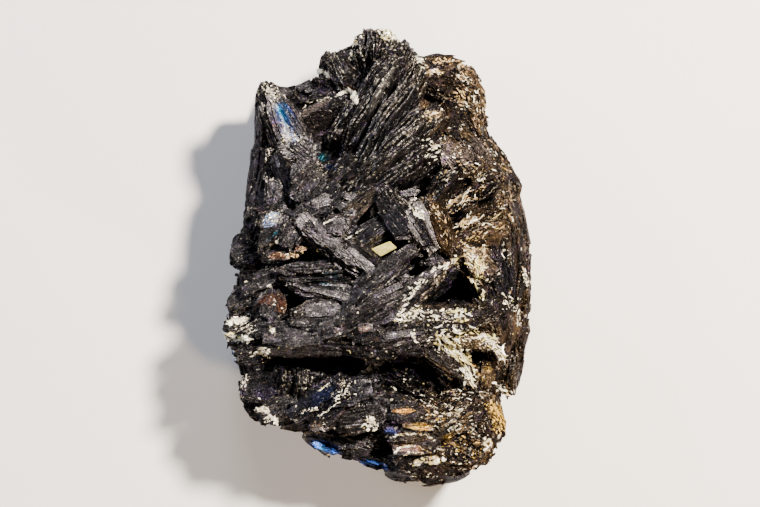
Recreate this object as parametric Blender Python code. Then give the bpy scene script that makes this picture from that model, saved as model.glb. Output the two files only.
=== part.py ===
# Covellite specimen: one intergrown mass of platy, blade-shaped crystals, lying on its back.
# Run with blender --background --python part.py, or from the text editor.
# +Z is up and away from the surface it lies on, +Y runs to its tall end, and +X to its bronze side.
# The origin is at the middle of its footprint, on the surface. Metres; the tables below are in mm.

import math
import random

import bmesh
import bpy
from mathutils import Matrix, Vector

LENGTH = 0.090  # of the whole specimen along Y; everything else follows from it
TABLE_UNIT = 0.001  # the tables are in mm, before they are brought to that length
SEED = 11

# The outline seen from above, clockwise from the spike at the upper left.
OUTLINE = [
    (-23.2, 35.6), (-21.2, 34.6), (-18.8, 33.4), (-15.8, 34.2), (-12.4, 37.2), (-10.2, 41.4),
    (-6.0, 41.0), (-3.6, 44.6), (-1.2, 46.0), (1.6, 45.4), (6.4, 42.4), (9.0, 40.4),
    (16.4, 40.0), (19.6, 36.8), (21.8, 31.0), (22.8, 24.6), (26.0, 19.6), (28.6, 13.0),
    (30.6, 3.0), (31.0, -4.0), (30.4, -11.0), (29.6, -18.0), (28.2, -27.0), (26.0, -31.0),
    (25.4, -36.0), (21.4, -41.8), (16.0, -45.0), (8.0, -46.4), (2.6, -43.6), (-2.6, -41.6),
    (-8.0, -40.0), (-13.0, -38.4), (-16.4, -34.8), (-24.0, -32.6), (-27.2, -29.0), (-28.4, -22.0),
    (-31.0, -15.6), (-29.8, -7.0), (-29.2, 1.6), (-27.0, 6.6), (-26.0, 14.0), (-25.0, 24.0),
]

# The rings of the body: height, and how far inside the outline the ring lies.
BODY_RINGS = [(-1.5, 13.0), (3.0, 8.4), (8.0, 4.4), (16.0, 2.6), (25.0, 3.0), (31.0, 6.0), (34.5, 10.0)]
BODY_TOP = (35.5, 14.0)
BODY_CENTRE = (0.5, -2.0)
BODY_REACH = 33.0  # the middling distance from that centre to the outline
BODY_ROUGHNESS = 0.9

CRYSTAL_TAPER = 0.88  # a crystal's upper face against its lower one
CRYSTAL_SQUARENESS = 0.75  # below 1, a crystal is more of a lath with blunt ends
CORNER_UNEVENNESS = (0.9, 1.12)
LATH_RATIO = 2.2  # from this length to width on, a crystal has eight sides and not six

# Each crystal: x, y, z of its middle, strike, lean, plunge, half length, half width, thickness.
# Strike is the heading of its long axis seen from above. Lean turns its face from straight up
# towards the left of that heading, and 90 stands it on edge. Plunge lifts the heading's end.
SPIKE_AND_LEFT_WALL = [
    (-19.4, 27.0, 31.5, -64, 22, 0, 9.6, 3.0, 5.5),
    (-15.6, 20.8, 34.0, 10, 18, 0, 4.0, 2.6, 4.5),
    (-23.0, 25.6, 23.0, 92, 80, 0, 9.6, 9.0, 3.2),
    (-24.4, 13.6, 23.5, 95, 76, 0, 9.6, 9.0, 3.2),
    (-22.0, 15.6, 31.0, 82, 52, 0, 7.0, 3.6, 3.4),
    (-17.4, 15.8, 35.5, -70, -25, 0, 6.0, 1.8, 3.4),
    (-19.6, 11.4, 36.0, -78, 10, 0, 4.4, 2.2, 3.0),
    (-27.4, 1.6, 25.0, 70, 60, 0, 4.6, 6.0, 3.6),
    (-24.6, 6.4, 33.0, 76, 35, 0, 3.6, 2.2, 4.0),
    (-25.6, 0.8, 31.0, 20, 15, 0, 3.8, 3.0, 4.0),
]
TOP_RECESS = [
    (-9.2, 27.0, 29.0, 5, 14, 0, 6.4, 5.4, 2.0),
    (-11.2, 34.0, 26.0, 18, 25, 0, 5.6, 2.8, 2.8),
    (-9.8, 38.8, 21.5, 82, 30, 0, 3.6, 2.4, 5.0),
    (-5.4, 37.0, 27.0, -48, 65, 0, 5.6, 4.5, 3.6),
    (-14.6, 31.4, 24.5, 28, 20, 0, 5.0, 3.0, 2.4),
]
TOP_FAN = [
    (-4.8, 40.4, 23.5, 110, -78, 0, 4.4, 6.5, 2.8),
    (-2.4, 41.6, 24.5, 100, -78, 0, 5.0, 7.0, 2.8),
    (0.2, 41.8, 26.0, 90, -78, 0, 5.0, 7.5, 2.6),
    (2.6, 41.0, 26.5, 80, -78, 0, 4.8, 7.5, 2.6),
    (4.8, 39.5, 26.5, 68, -78, 0, 4.6, 6.5, 2.8),
    (6.8, 37.6, 25.5, 58, -78, 0, 4.2, 6.0, 3.0),
    (-0.2, 30.8, 34.5, 60, -62, 0, 11.2, 5.0, 2.6),
    (-3.4, 27.6, 33.0, 62, -66, 0, 8.6, 5.0, 1.8),
    (-6.2, 23.4, 32.5, 65, -66, 0, 7.4, 5.0, 2.0),
    (2.4, 25.4, 36.0, 57, -62, 0, 10.4, 5.0, 2.2),
    (5.0, 21.6, 37.0, 50, -62, 0, 9.8, 4.6, 2.2),
    (1.4, 17.6, 38.5, 41, -58, 0, 10.0, 3.6, 2.2),
    (6.8, 16.4, 37.5, 36, -58, 0, 8.6, 3.8, 2.0),
    (8.2, 32.4, 29.5, 64, -70, 0, 7.0, 6.0, 2.8),
    (11.4, 28.4, 35.5, 30, 20, 0, 2.3, 1.7, 4.0),
    (10.2, 23.6, 35.5, 48, -55, 0, 6.6, 4.0, 2.4),
    (-6.4, 15.8, 38.0, 48, -40, 0, 5.0, 2.6, 2.4),
]
TOP_RIGHT_LOBE = [
    (13.0, 37.8, 26.0, -2, 52, 0, 5.8, 4.2, 4.6),
    (15.4, 33.6, 30.5, -15, 25, 0, 5.6, 3.8, 4.4),
    (18.0, 31.8, 27.5, -72, 45, 0, 7.2, 4.8, 5.0),
    (16.2, 26.8, 32.0, -60, 18, 0, 5.8, 4.6, 4.4),
    (19.8, 28.6, 21.5, -74, 76, 0, 8.4, 8.0, 3.4),
]
ROSETTE = [
    (23.2, 18.4, 27.5, -60, 58, 0, 6.4, 5.8, 3.6),
    (25.8, 10.4, 27.0, -74, 60, 0, 6.6, 5.8, 3.6),
    (26.8, 2.2, 26.5, -88, 60, 0, 6.2, 5.8, 3.6),
    (26.2, -6.4, 26.0, -95, 60, 0, 6.2, 5.8, 3.6),
    (25.4, -14.4, 25.5, -97, 58, 0, 5.6, 5.8, 3.6),
    (20.0, 19.4, 33.0, -55, 32, 0, 5.8, 3.6, 3.6),
    (15.2, 19.6, 36.0, -52, 12, 0, 5.2, 3.4, 3.4),
    (15.0, 13.2, 37.5, 50, -50, 0, 6.8, 4.0, 2.0),
    (19.2, 12.2, 36.0, 38, -50, 0, 6.8, 4.2, 2.0),
    (20.6, 8.0, 35.5, 32, -50, 0, 7.2, 4.4, 2.0),
    (20.4, 4.4, 35.0, 26, -46, 0, 6.8, 4.4, 2.2),
    (20.0, -1.4, 34.5, -45, 22, 0, 4.8, 3.6, 3.2),
    (24.4, -2.0, 31.0, -86, 42, 0, 8.4, 3.6, 3.2),
    (23.4, -11.0, 31.5, -80, 30, 0, 5.4, 3.6, 3.6),
]
COLUMN = [
    (12.8, 5.4, 39.5, -69, 48, 0, 7.2, 3.2, 3.4),
    (9.0, 6.0, 40.5, -58, 12, 0, 6.4, 3.6, 4.6),
    (4.4, 8.4, 41.0, -50, -14, 0, 6.8, 3.2, 2.8),
    (11.6, -0.4, 39.0, 12, 10, 0, 3.4, 1.8, 3.0),
    (-0.4, 4.8, 39.2, 38, 28, 0, 5.2, 2.2, 3.0),
    (1.6, 11.6, 38.6, 64, -30, 0, 4.4, 2.0, 2.6),
]
CENTRE_PLATES = [
    (-13.2, 14.4, 39.0, 50, -12, 0, 4.8, 3.2, 2.6),
    (-10.0, 10.8, 40.0, 32, 10, 0, 4.2, 2.7, 2.6),
    (-3.4, 10.6, 40.0, 40, -30, 0, 5.6, 2.2, 2.4),
    (-8.0, 6.2, 41.4, 26, -6, 0, 3.2, 2.5, 2.2),
    (-12.8, 5.8, 41.2, -45, 12, 0, 3.6, 2.3, 2.4),
    (-16.4, 4.6, 40.4, 60, -12, 0, 3.2, 2.3, 2.6),
    (-19.2, 5.2, 38.8, 44, 20, 0, 5.6, 1.9, 2.6),
    (-21.0, 7.8, 38.6, 50, -20, 0, 2.8, 2.2, 2.6),
    (-7.6, 1.2, 41.6, -34, 28, 0, 8.6, 1.8, 3.0),
    (-2.8, 0.6, 41.0, -40, -15, 0, 5.4, 2.0, 2.6),
    (-18.2, 0.8, 38.0, 15, 20, 0, 4.8, 1.6, 2.8),
    (-10.6, -2.2, 40.2, 2, 35, 0, 8.0, 1.1, 2.2),
    (-11.4, -4.6, 39.6, -3, 35, 0, 7.4, 1.0, 2.0),
    (-8.8, -7.0, 41.0, -8, 25, 0, 8.2, 1.5, 2.6),
    (-11.6, -10.4, 40.6, 12, -8, 0, 5.6, 2.7, 2.2),
    (-20.4, -9.4, 37.8, 60, 8, 0, 3.4, 2.8, 2.6),
    (-24.6, -6.6, 33.5, 38, 25, 0, 6.8, 2.2, 3.4),
    (-22.0, -4.8, 36.5, 32, 20, 0, 4.6, 1.8, 2.8),
]
LOWER_LATHS = [
    (1.4, -3.8, 42.0, 38, 18, 0, 9.8, 2.0, 3.0),
    (8.0, -7.4, 40.6, 36, 14, 0, 11.2, 2.5, 4.4),
    (-0.6, -11.2, 41.4, 27, -8, 0, 8.4, 3.2, 3.4),
    (12.6, -14.8, 39.4, 15, 20, 0, 12.0, 1.8, 3.4),
    (11.6, -11.8, 37.4, 6, 20, 0, 9.0, 2.0, 3.2),
    (4.2, -15.8, 40.8, 20, -10, 0, 6.8, 2.8, 3.2),
    (16.2, -20.4, 36.2, -52, -10, 0, 6.2, 2.4, 3.4),
    (18.6, -16.4, 38.0, -6, 10, 0, 6.6, 1.9, 2.8),
    (23.8, -18.4, 33.0, -58, 20, 0, 3.8, 1.6, 3.0),
    (21.6, -23.4, 31.5, 82, -15, 0, 3.2, 2.2, 4.0),
    (13.0, -20.4, 35.8, -36, 18, 0, 5.6, 1.7, 3.0),
    (17.6, -24.4, 33.2, -48, 24, 0, 4.8, 1.6, 3.0),
    (-1.8, -14.4, 41.8, 20, -12, 0, 3.6, 2.4, 2.4),
    (-7.8, -13.6, 41.0, 26, 8, 0, 5.4, 2.8, 3.0),
    (-15.6, -15.0, 39.2, 9, 8, 0, 7.0, 2.8, 3.2),
    (-22.0, -14.4, 37.0, 16, 14, 0, 4.8, 2.4, 3.2),
    (-27.2, -14.6, 32.0, 10, 30, 0, 3.8, 2.8, 4.0),
    (-24.0, -19.2, 35.0, 10, -8, 0, 4.4, 2.2, 3.6),
    (-14.0, -17.8, 39.4, 2, -25, 0, 8.4, 1.5, 2.6),
    (-4.4, -17.8, 40.2, -5, -25, 0, 7.6, 1.5, 2.4),
    (4.4, -19.2, 39.2, 8, -22, 0, 6.6, 1.5, 2.4),
]
LOWER_LEFT = [
    (-15.4, -25.2, 33.0, 88, 60, 0, 3.6, 3.0, 3.0),
    (-18.6, -24.6, 32.5, 80, 55, 0, 3.4, 3.0, 2.6),
    (-23.2, -26.4, 31.5, 8, 12, 0, 4.8, 3.4, 4.0),
    (3.6, -23.2, 34.5, -32, 35, 0, 7.4, 1.5, 2.6),
    (9.0, -21.8, 33.5, -60, 20, 0, 4.6, 1.6, 3.0),
    (-11.4, -28.4, 35.5, 38, 24, 0, 7.4, 2.2, 3.2),
    (-8.8, -31.4, 35.5, 38, 24, 0, 5.2, 1.8, 3.0),
    (-4.6, -27.6, 35.6, 20, 20, 0, 5.0, 2.8, 3.4),
    (-19.0, -30.0, 32.6, 24, -10, 0, 5.6, 2.6, 3.6),
    (-22.4, -31.4, 28.5, -18, -40, 0, 5.2, 3.0, 3.6),
    (-14.6, -32.8, 30.0, 10, -32, 0, 5.4, 3.0, 3.6),
    (-3.0, -32.4, 34.0, 10, -10, 0, 5.6, 2.4, 3.4),
    (-10.8, -36.8, 27.0, -20, -45, 0, 4.6, 3.0, 3.4),
    (-5.0, -37.4, 28.0, -14, -40, 0, 5.0, 3.0, 3.6),
    (-1.4, -40.6, 23.0, -16, -55, 0, 3.4, 3.0, 2.6),
]
BOTTOM_LOBE = [
    (8.6, -31.6, 34.6, -4, 16, 0, 6.2, 3.0, 3.6),
    (8.4, -36.4, 34.6, -8, -10, 0, 6.2, 3.0, 4.0),
    (9.8, -41.0, 30.5, -10, -42, 0, 6.4, 4.0, 4.0),
    (16.6, -31.0, 35.0, 30, 6, 0, 6.0, 4.4, 4.4),
    (16.4, -37.2, 33.6, -20, -18, 0, 6.2, 4.2, 4.4),
    (22.2, -33.0, 29.6, -84, 46, 0, 5.8, 4.4, 4.4),
    (20.2, -39.2, 27.0, -140, 52, 0, 5.4, 4.6, 4.4),
    (13.6, -43.0, 24.5, -172, 66, 0, 6.8, 6.0, 4.2),
    (6.0, -43.4, 23.0, -6, -70, 0, 5.0, 6.0, 3.2),
]

RIGHT_BACK_LAYER = [
    (28.4, 9.0, 16.0, -76, 76, 0, 8.4, 6.0, 4.0),
    (30.4, -3.4, 17.0, -90, 80, 5, 8.8, 6.4, 3.4),
    (30.2, -15.6, 15.5, -92, 76, -6, 8.6, 6.0, 3.6),
    (27.6, -23.6, 16.5, -98, 78, 4, 5.8, 6.0, 3.8),
    (26.4, 17.6, 17.5, -52, 74, 0, 6.4, 5.4, 3.8),
]

# Broad plates near the surface it lies on, broken off level where the specimen was split away.
BACK_PLATES = [
    (-12.0, 21.0, 4.2, 105, 10, 4, 11.0, 7.0, 4.2),
    (6.0, 31.0, 5.2, 20, -9, 0, 10.0, 6.5, 4.0),
    (17.0, 18.0, 4.4, -75, 12, -3, 11.5, 6.8, 4.4),
    (20.0, -4.0, 5.6, 84, -14, 0, 11.0, 7.2, 4.0),
    (17.0, -24.0, 4.2, -60, 10, 4, 10.0, 6.6, 4.4),
    (3.0, -33.0, 5.0, -8, 12, 0, 11.0, 6.4, 4.2),
    (-14.0, -24.0, 4.0, 35, 10, -4, 10.5, 6.6, 4.2),
    (-20.0, -6.0, 5.4, 95, 12, 0, 11.5, 6.4, 4.0),
    (-17.0, 12.0, 3.4, 70, -8, 3, 9.5, 6.0, 3.6),
]

# Pits and gaps between crystals: x, y, floor height, half length, half width, strike, slant.
PITS = [
    (15.6, -5.6, 24.0, 4.6, 3.4, 20, 8),
    (17.6, -4.0, 27.0, 2.2, 2.6, 70, -10),
    (8.4, -0.8, 33.0, 3.4, 1.2, 15, 14),
    (14.8, 7.4, 31.5, 2.2, 1.3, -60, -12),
    (-19.4, -20.5, 29.5, 4.4, 1.7, 2, 10),
    (-14.0, -20.2, 30.5, 4.2, 1.2, -6, 18),
    (-6.8, -21.2, 29.0, 5.0, 1.9, 7, 8),
    (8.4, 13.4, 32.0, 2.8, 1.5, 34, -16),
    (19.8, -19.8, 29.5, 1.7, 1.5, 40, 12),
    (-15.0, 30.6, 21.5, 3.8, 1.6, 15, -14),
    (7.0, -25.4, 31.0, 3.6, 1.7, -15, 14),
    (12.0, -26.6, 31.5, 2.6, 1.4, -28, -10),
    (1.6, 1.6, 37.5, 2.8, 1.3, 12, 16),
]
PIT_MOUTH = 1.45  # a pit's width at its mouth against its width at its floor
PIT_TOP = 50.0
PIT_UNEVENNESS = (0.72, 1.2)

# The crystals of the sides, set round the outline: height, how many, half length, half width.
SIDE_SHINGLES = [(9.0, 10, 8.8, 5.6), (18.5, 10, 9.4, 6.4)]
SHINGLE_LEAN = (62.0, 84.0)
SIDE_BOOKS = [(12.5, 11, 5.6, 8.4)]  # standing on edge, with their ends in the wall
SIDE_THICKNESS = (2.8, 4.6)
SHINGLE_DEPTH = -0.2
SHINGLE_TILT_ROOM = 0.16  # of its half width: room for a leaning shingle's foot
NOTCHES = [  # where the walls are drawn in: x, y, reach, depth
    (-15.0, 34.0, 12.0, 7.0), (1.0, 45.0, 16.0, 5.0), (23.0, 26.0, 8.0, 3.0),
    (27.0, -29.0, 6.0, 2.0), (8.0, -46.0, 14.0, 4.0), (-29.0, -8.0, 12.0, 2.5),
]
BOOK_DEPTH = 4.4
FLOOR_BOX = (120.0, 140.0, 10.0)
POCKET_CORNERS = 400  # a closed shell with fewer corners than this is a sealed pocket


def blade_matrix(x, y, z, strike, lean, plunge):
    """The place of a crystal: its long axis along local X and its face normal along local Z."""
    turn = (
        Matrix.Rotation(math.radians(strike), 4, "Z")
        @ Matrix.Rotation(math.radians(-plunge), 4, "Y")
        @ Matrix.Rotation(math.radians(-lean), 4, "X")
    )
    return Matrix.Translation(Vector((x, y, z)) * TABLE_UNIT) @ turn


def link(name, mesh, collection):
    made = bpy.data.objects.new(name, mesh)
    collection.objects.link(made)
    return made


def tabular_crystal(name, matrix, half_length, half_width, thickness, dice, collection):
    """A six- to eight-sided plate with sloping sides and corners that are a little uneven."""
    corners = 6 if half_length < LATH_RATIO * half_width else 8
    shape = bmesh.new()
    bmesh.ops.create_cone(
        shape, cap_ends=True, segments=corners, radius1=1.0, radius2=CRYSTAL_TAPER, depth=1.0,
        matrix=Matrix.Rotation(math.pi / corners + math.pi / 2, 4, "Z"),
    )
    uneven = {}
    for corner in shape.verts:
        column = round(math.atan2(corner.co.y, corner.co.x), 2)
        stretch = uneven.setdefault(column, dice.uniform(*CORNER_UNEVENNESS))
        corner.co.x = math.copysign(abs(corner.co.x) ** CRYSTAL_SQUARENESS, corner.co.x) * stretch
        corner.co.y *= stretch
    size = Vector((half_length, half_width, thickness)) * TABLE_UNIT
    bmesh.ops.scale(shape, vec=size, verts=shape.verts)
    bmesh.ops.transform(shape, matrix=matrix, verts=shape.verts)
    mesh = bpy.data.meshes.new(name)
    shape.to_mesh(mesh)
    shape.free()
    return link(name, mesh, collection)


def ring_points(height, inside, dice):
    """The outline drawn in towards the body's centre, and roughened."""
    centre = Vector(BODY_CENTRE)
    points = []
    for corner in OUTLINE:
        out = Vector(corner) - centre
        out.length -= inside * out.length / BODY_REACH + dice.uniform(0, BODY_ROUGHNESS)
        level = height + dice.uniform(-BODY_ROUGHNESS, BODY_ROUGHNESS) * (height > 0)
        points.append(Vector((centre.x + out.x, centre.y + out.y, level)) * TABLE_UNIT)
    return points


def body(collection):
    """The body that the crystals grow from: the outline, carried up ring by ring."""
    dice = random.Random(SEED)
    shape = bmesh.new()
    bmesh.ops.create_cone(shape, cap_ends=True, segments=len(OUTLINE), radius1=1.0, radius2=1.0, depth=1.0)
    ends = sorted((face for face in shape.faces if len(face.verts) > 4), key=lambda face: face.normal.z)
    for end, (height, inside) in zip(ends, BODY_RINGS):
        turns = [-math.atan2(corner.co.y, corner.co.x) for corner in end.verts]
        order = sorted(range(len(turns)), key=turns.__getitem__)
        set_ring(end, order, ring_points(height, inside, dice))
    face = ends[1]
    for height, inside in BODY_RINGS[2:] + [BODY_TOP]:
        face = bmesh.ops.extrude_discrete_faces(shape, faces=[face])["faces"][0]
        set_ring(face, order, ring_points(height, inside, dice))
    bmesh.ops.recalc_face_normals(shape, faces=shape.faces)
    bmesh.ops.triangulate(shape, faces=shape.faces)
    mesh = bpy.data.meshes.new("covellite_mass")
    shape.to_mesh(mesh)
    shape.free()
    return link("covellite_mass", mesh, collection)


def set_ring(face, order, points):
    """Move an end face's corners to these points, which go clockwise seen from above."""
    for index, point in zip(order, points):
        face.verts[index].co = point


def front_crystals():
    return (
        SPIKE_AND_LEFT_WALL + TOP_RECESS + TOP_FAN + TOP_RIGHT_LOBE + ROSETTE
        + COLUMN + CENTRE_PLATES + LOWER_LATHS + LOWER_LEFT + BOTTOM_LOBE
        + RIGHT_BACK_LAYER + BACK_PLATES
    )


def outline_walk(share):
    """The point at this share of the way round the outline, and the heading there."""
    corners = [Vector(corner) for corner in OUTLINE]
    sides = [(a, b) for a, b in zip(corners, corners[1:] + corners[:1])]
    left = share % 1.0 * sum((b - a).length for a, b in sides)
    for a, b in sides:
        if left <= (b - a).length:
            break
        left -= (b - a).length
    return a + (b - a).normalized() * left, math.degrees(math.atan2(b.y - a.y, b.x - a.x))


def notch_depth(point):
    """How far the walls are drawn in here, beside one of the notches of the outline."""
    depths = [depth * (1 - (point - Vector((x, y))).length / reach) for x, y, reach, depth in NOTCHES]
    return max(0.0, *depths)


def side_crystals(dice):
    """Plates leaning on the walls like shingles, and books of plates that end in the walls."""
    rows = []
    for table, across in ((SIDE_SHINGLES, False), (SIDE_BOOKS, True)):
        for height, count, half_length, half_width in table:
            for step in range(count):
                point, heading = outline_walk((step + dice.uniform(-0.3, 0.3)) / count)
                inward = (Vector(BODY_CENTRE) - point).normalized()
                point += inward * notch_depth(point)
                size = dice.uniform(0.82, 1.16)
                thickness = dice.uniform(*SIDE_THICKNESS)
                if across:
                    place = point + inward * BOOK_DEPTH
                    strike, lean = heading - 90 + dice.uniform(-24, 24), dice.uniform(74, 106)
                else:
                    place = point + inward * (SHINGLE_DEPTH + thickness / 2 + half_width * SHINGLE_TILT_ROOM)
                    strike, lean = heading + dice.uniform(-10, 10), dice.uniform(*SHINGLE_LEAN)
                rows.append((
                    place.x, place.y, height + dice.uniform(-1.5, 1.5), strike, lean,
                    dice.uniform(-22, 22), half_length * size, half_width * size, thickness,
                ))
    return rows


def pit_cutter(name, x, y, floor, half_length, half_width, strike, slant, dice, collection):
    """A widening hole with five uneven flat sides, as the faces of the crystals round it make."""
    shape = bmesh.new()
    bmesh.ops.create_cone(
        shape, cap_ends=True, segments=5, radius1=1.0, radius2=PIT_MOUTH,
        depth=PIT_TOP - floor,
    )
    for corner in shape.verts:
        corner.co.xy *= dice.uniform(*PIT_UNEVENNESS)
    bmesh.ops.scale(shape, vec=(half_length, half_width, 1.0), verts=shape.verts)
    turn = Matrix.Rotation(math.radians(strike), 4, "Z") @ Matrix.Rotation(math.radians(slant), 4, "X")
    pivot = Matrix.Translation((x, y, floor))
    lift = Matrix.Translation((0, 0, (PIT_TOP - floor) / 2))
    bmesh.ops.transform(shape, matrix=Matrix.Scale(TABLE_UNIT, 4) @ pivot @ turn @ lift, verts=shape.verts)
    mesh = bpy.data.meshes.new(name)
    shape.to_mesh(mesh)
    shape.free()
    return link(name, mesh, collection)


def floor_cutter(collection):
    """The box that takes off everything below the level the specimen was split along."""
    shape = bmesh.new()
    bmesh.ops.create_cube(shape, size=1.0)
    bmesh.ops.scale(shape, vec=FLOOR_BOX, verts=shape.verts)
    lower = Matrix.Translation((0, 0, -FLOOR_BOX[2] / 2))
    bmesh.ops.transform(shape, matrix=Matrix.Scale(TABLE_UNIT, 4) @ lower, verts=shape.verts)
    mesh = bpy.data.meshes.new("floor_box")
    shape.to_mesh(mesh)
    shape.free()
    return link("floor_box", mesh, collection)


def bring_to_length(solids, helpers):
    """Scale and centre every mesh so that the specimen has its length and stands over the origin."""
    corners = [corner.co for solid in solids for corner in solid.data.vertices]
    low = Vector([min(corner[axis] for corner in corners) for axis in range(3)])
    high = Vector([max(corner[axis] for corner in corners) for axis in range(3)])
    middle = (low + high) / 2
    fit = Matrix.Scale(LENGTH / (high.y - low.y), 4) @ Matrix.Translation((-middle.x, -middle.y, 0))
    for item in solids + helpers:
        item.data.transform(fit)


def helper_collection(name):
    made = bpy.data.collections.new(name)
    bpy.context.scene.collection.children.link(made)
    return made


def boolean(target, operation, operands):
    for helper in operands.objects:
        helper.hide_render = True
        helper.display_type = "WIRE"
    modifier = target.modifiers.new(operation.lower(), "BOOLEAN")
    modifier.operation = operation
    modifier.operand_type = "COLLECTION"
    modifier.collection = operands
    modifier.solver = "EXACT"
    return modifier


def fill_sealed_pockets(target):
    """Remove the small closed shells left where crystals meet round a pocket with no way in."""
    group = bpy.data.node_groups.new("fill_sealed_pockets", "GeometryNodeTree")
    group.interface.new_socket("Geometry", in_out="INPUT", socket_type="NodeSocketGeometry")
    group.interface.new_socket("Geometry", in_out="OUTPUT", socket_type="NodeSocketGeometry")
    start = group.nodes.new("NodeGroupInput")
    island = group.nodes.new("GeometryNodeInputMeshIsland")
    count = group.nodes.new("GeometryNodeAccumulateField")
    count.domain = "POINT"
    count.data_type = "INT"
    one = next(socket for socket in count.inputs if socket.type == "INT" and socket.name != "Group ID")
    one.default_value = 1
    total = next(socket for socket in count.outputs if socket.type == "INT" and socket.name == "Total")
    small = group.nodes.new("FunctionNodeCompare")
    small.data_type = "INT"
    small.operation = "LESS_THAN"
    sides = [socket for socket in small.inputs if socket.type == "INT"]
    sides[1].default_value = POCKET_CORNERS
    delete = group.nodes.new("GeometryNodeDeleteGeometry")
    end = group.nodes.new("NodeGroupOutput")
    group.links.new(island.outputs["Island Index"], count.inputs["Group ID"])
    group.links.new(total, sides[0])
    group.links.new(start.outputs[0], delete.inputs["Geometry"])
    group.links.new(small.outputs["Result"], delete.inputs["Selection"])
    group.links.new(delete.outputs["Geometry"], end.inputs[0])
    target.modifiers.new("pockets", "NODES").node_group = group


def covellite_material():
    material = bpy.data.materials.new("covellite")
    material.use_nodes = True
    shader = material.node_tree.nodes["Principled BSDF"]
    shader.inputs["Base Color"].default_value = (0.035, 0.032, 0.038, 1.0)
    shader.inputs["Metallic"].default_value = 0.8
    shader.inputs["Roughness"].default_value = 0.42
    return material


def main():
    for old in list(bpy.data.objects):
        bpy.data.objects.remove(old)
    dice = random.Random(SEED)
    specimen = helper_collection("covellite_specimen")
    crystals = helper_collection("crystals")
    pits = helper_collection("pits")
    mass = body(specimen)
    for number, row in enumerate(front_crystals() + side_crystals(dice)):
        place, size = blade_matrix(*row[:6]), row[6:]
        tabular_crystal(f"crystal_{number:03d}", place, *size, dice, crystals)
    for number, row in enumerate(PITS):
        pit_cutter(f"pit_{number:02d}", *row, dice, pits)
    floor_cutter(pits)
    bring_to_length([mass, *crystals.objects], list(pits.objects))
    boolean(mass, "UNION", crystals)
    boolean(mass, "DIFFERENCE", pits)
    fill_sealed_pockets(mass)
    mass.data.materials.append(covellite_material())


main()
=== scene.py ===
import math
import random
import bpy
import bmesh
import numpy as np
from mathutils import Euler, Matrix, Vector, noise
from mathutils.bvhtree import BVHTree


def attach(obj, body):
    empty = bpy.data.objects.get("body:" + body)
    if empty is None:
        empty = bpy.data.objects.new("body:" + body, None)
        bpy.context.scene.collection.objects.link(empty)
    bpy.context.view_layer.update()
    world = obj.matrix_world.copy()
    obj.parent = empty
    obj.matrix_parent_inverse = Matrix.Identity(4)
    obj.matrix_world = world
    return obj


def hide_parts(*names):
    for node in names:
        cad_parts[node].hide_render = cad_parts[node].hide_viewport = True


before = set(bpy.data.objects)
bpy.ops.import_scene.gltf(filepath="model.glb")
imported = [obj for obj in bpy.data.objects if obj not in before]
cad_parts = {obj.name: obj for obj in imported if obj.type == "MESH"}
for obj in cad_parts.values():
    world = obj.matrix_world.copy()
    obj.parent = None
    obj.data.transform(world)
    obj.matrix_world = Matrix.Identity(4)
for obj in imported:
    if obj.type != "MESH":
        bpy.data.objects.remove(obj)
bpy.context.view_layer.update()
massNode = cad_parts["covellite_mass"]

# everything is laid out in millimetres on the table below, then brought to the specimen's length
specimen = {"length": 0.090, "tableUnit": 0.001, "seed": 11}

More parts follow.
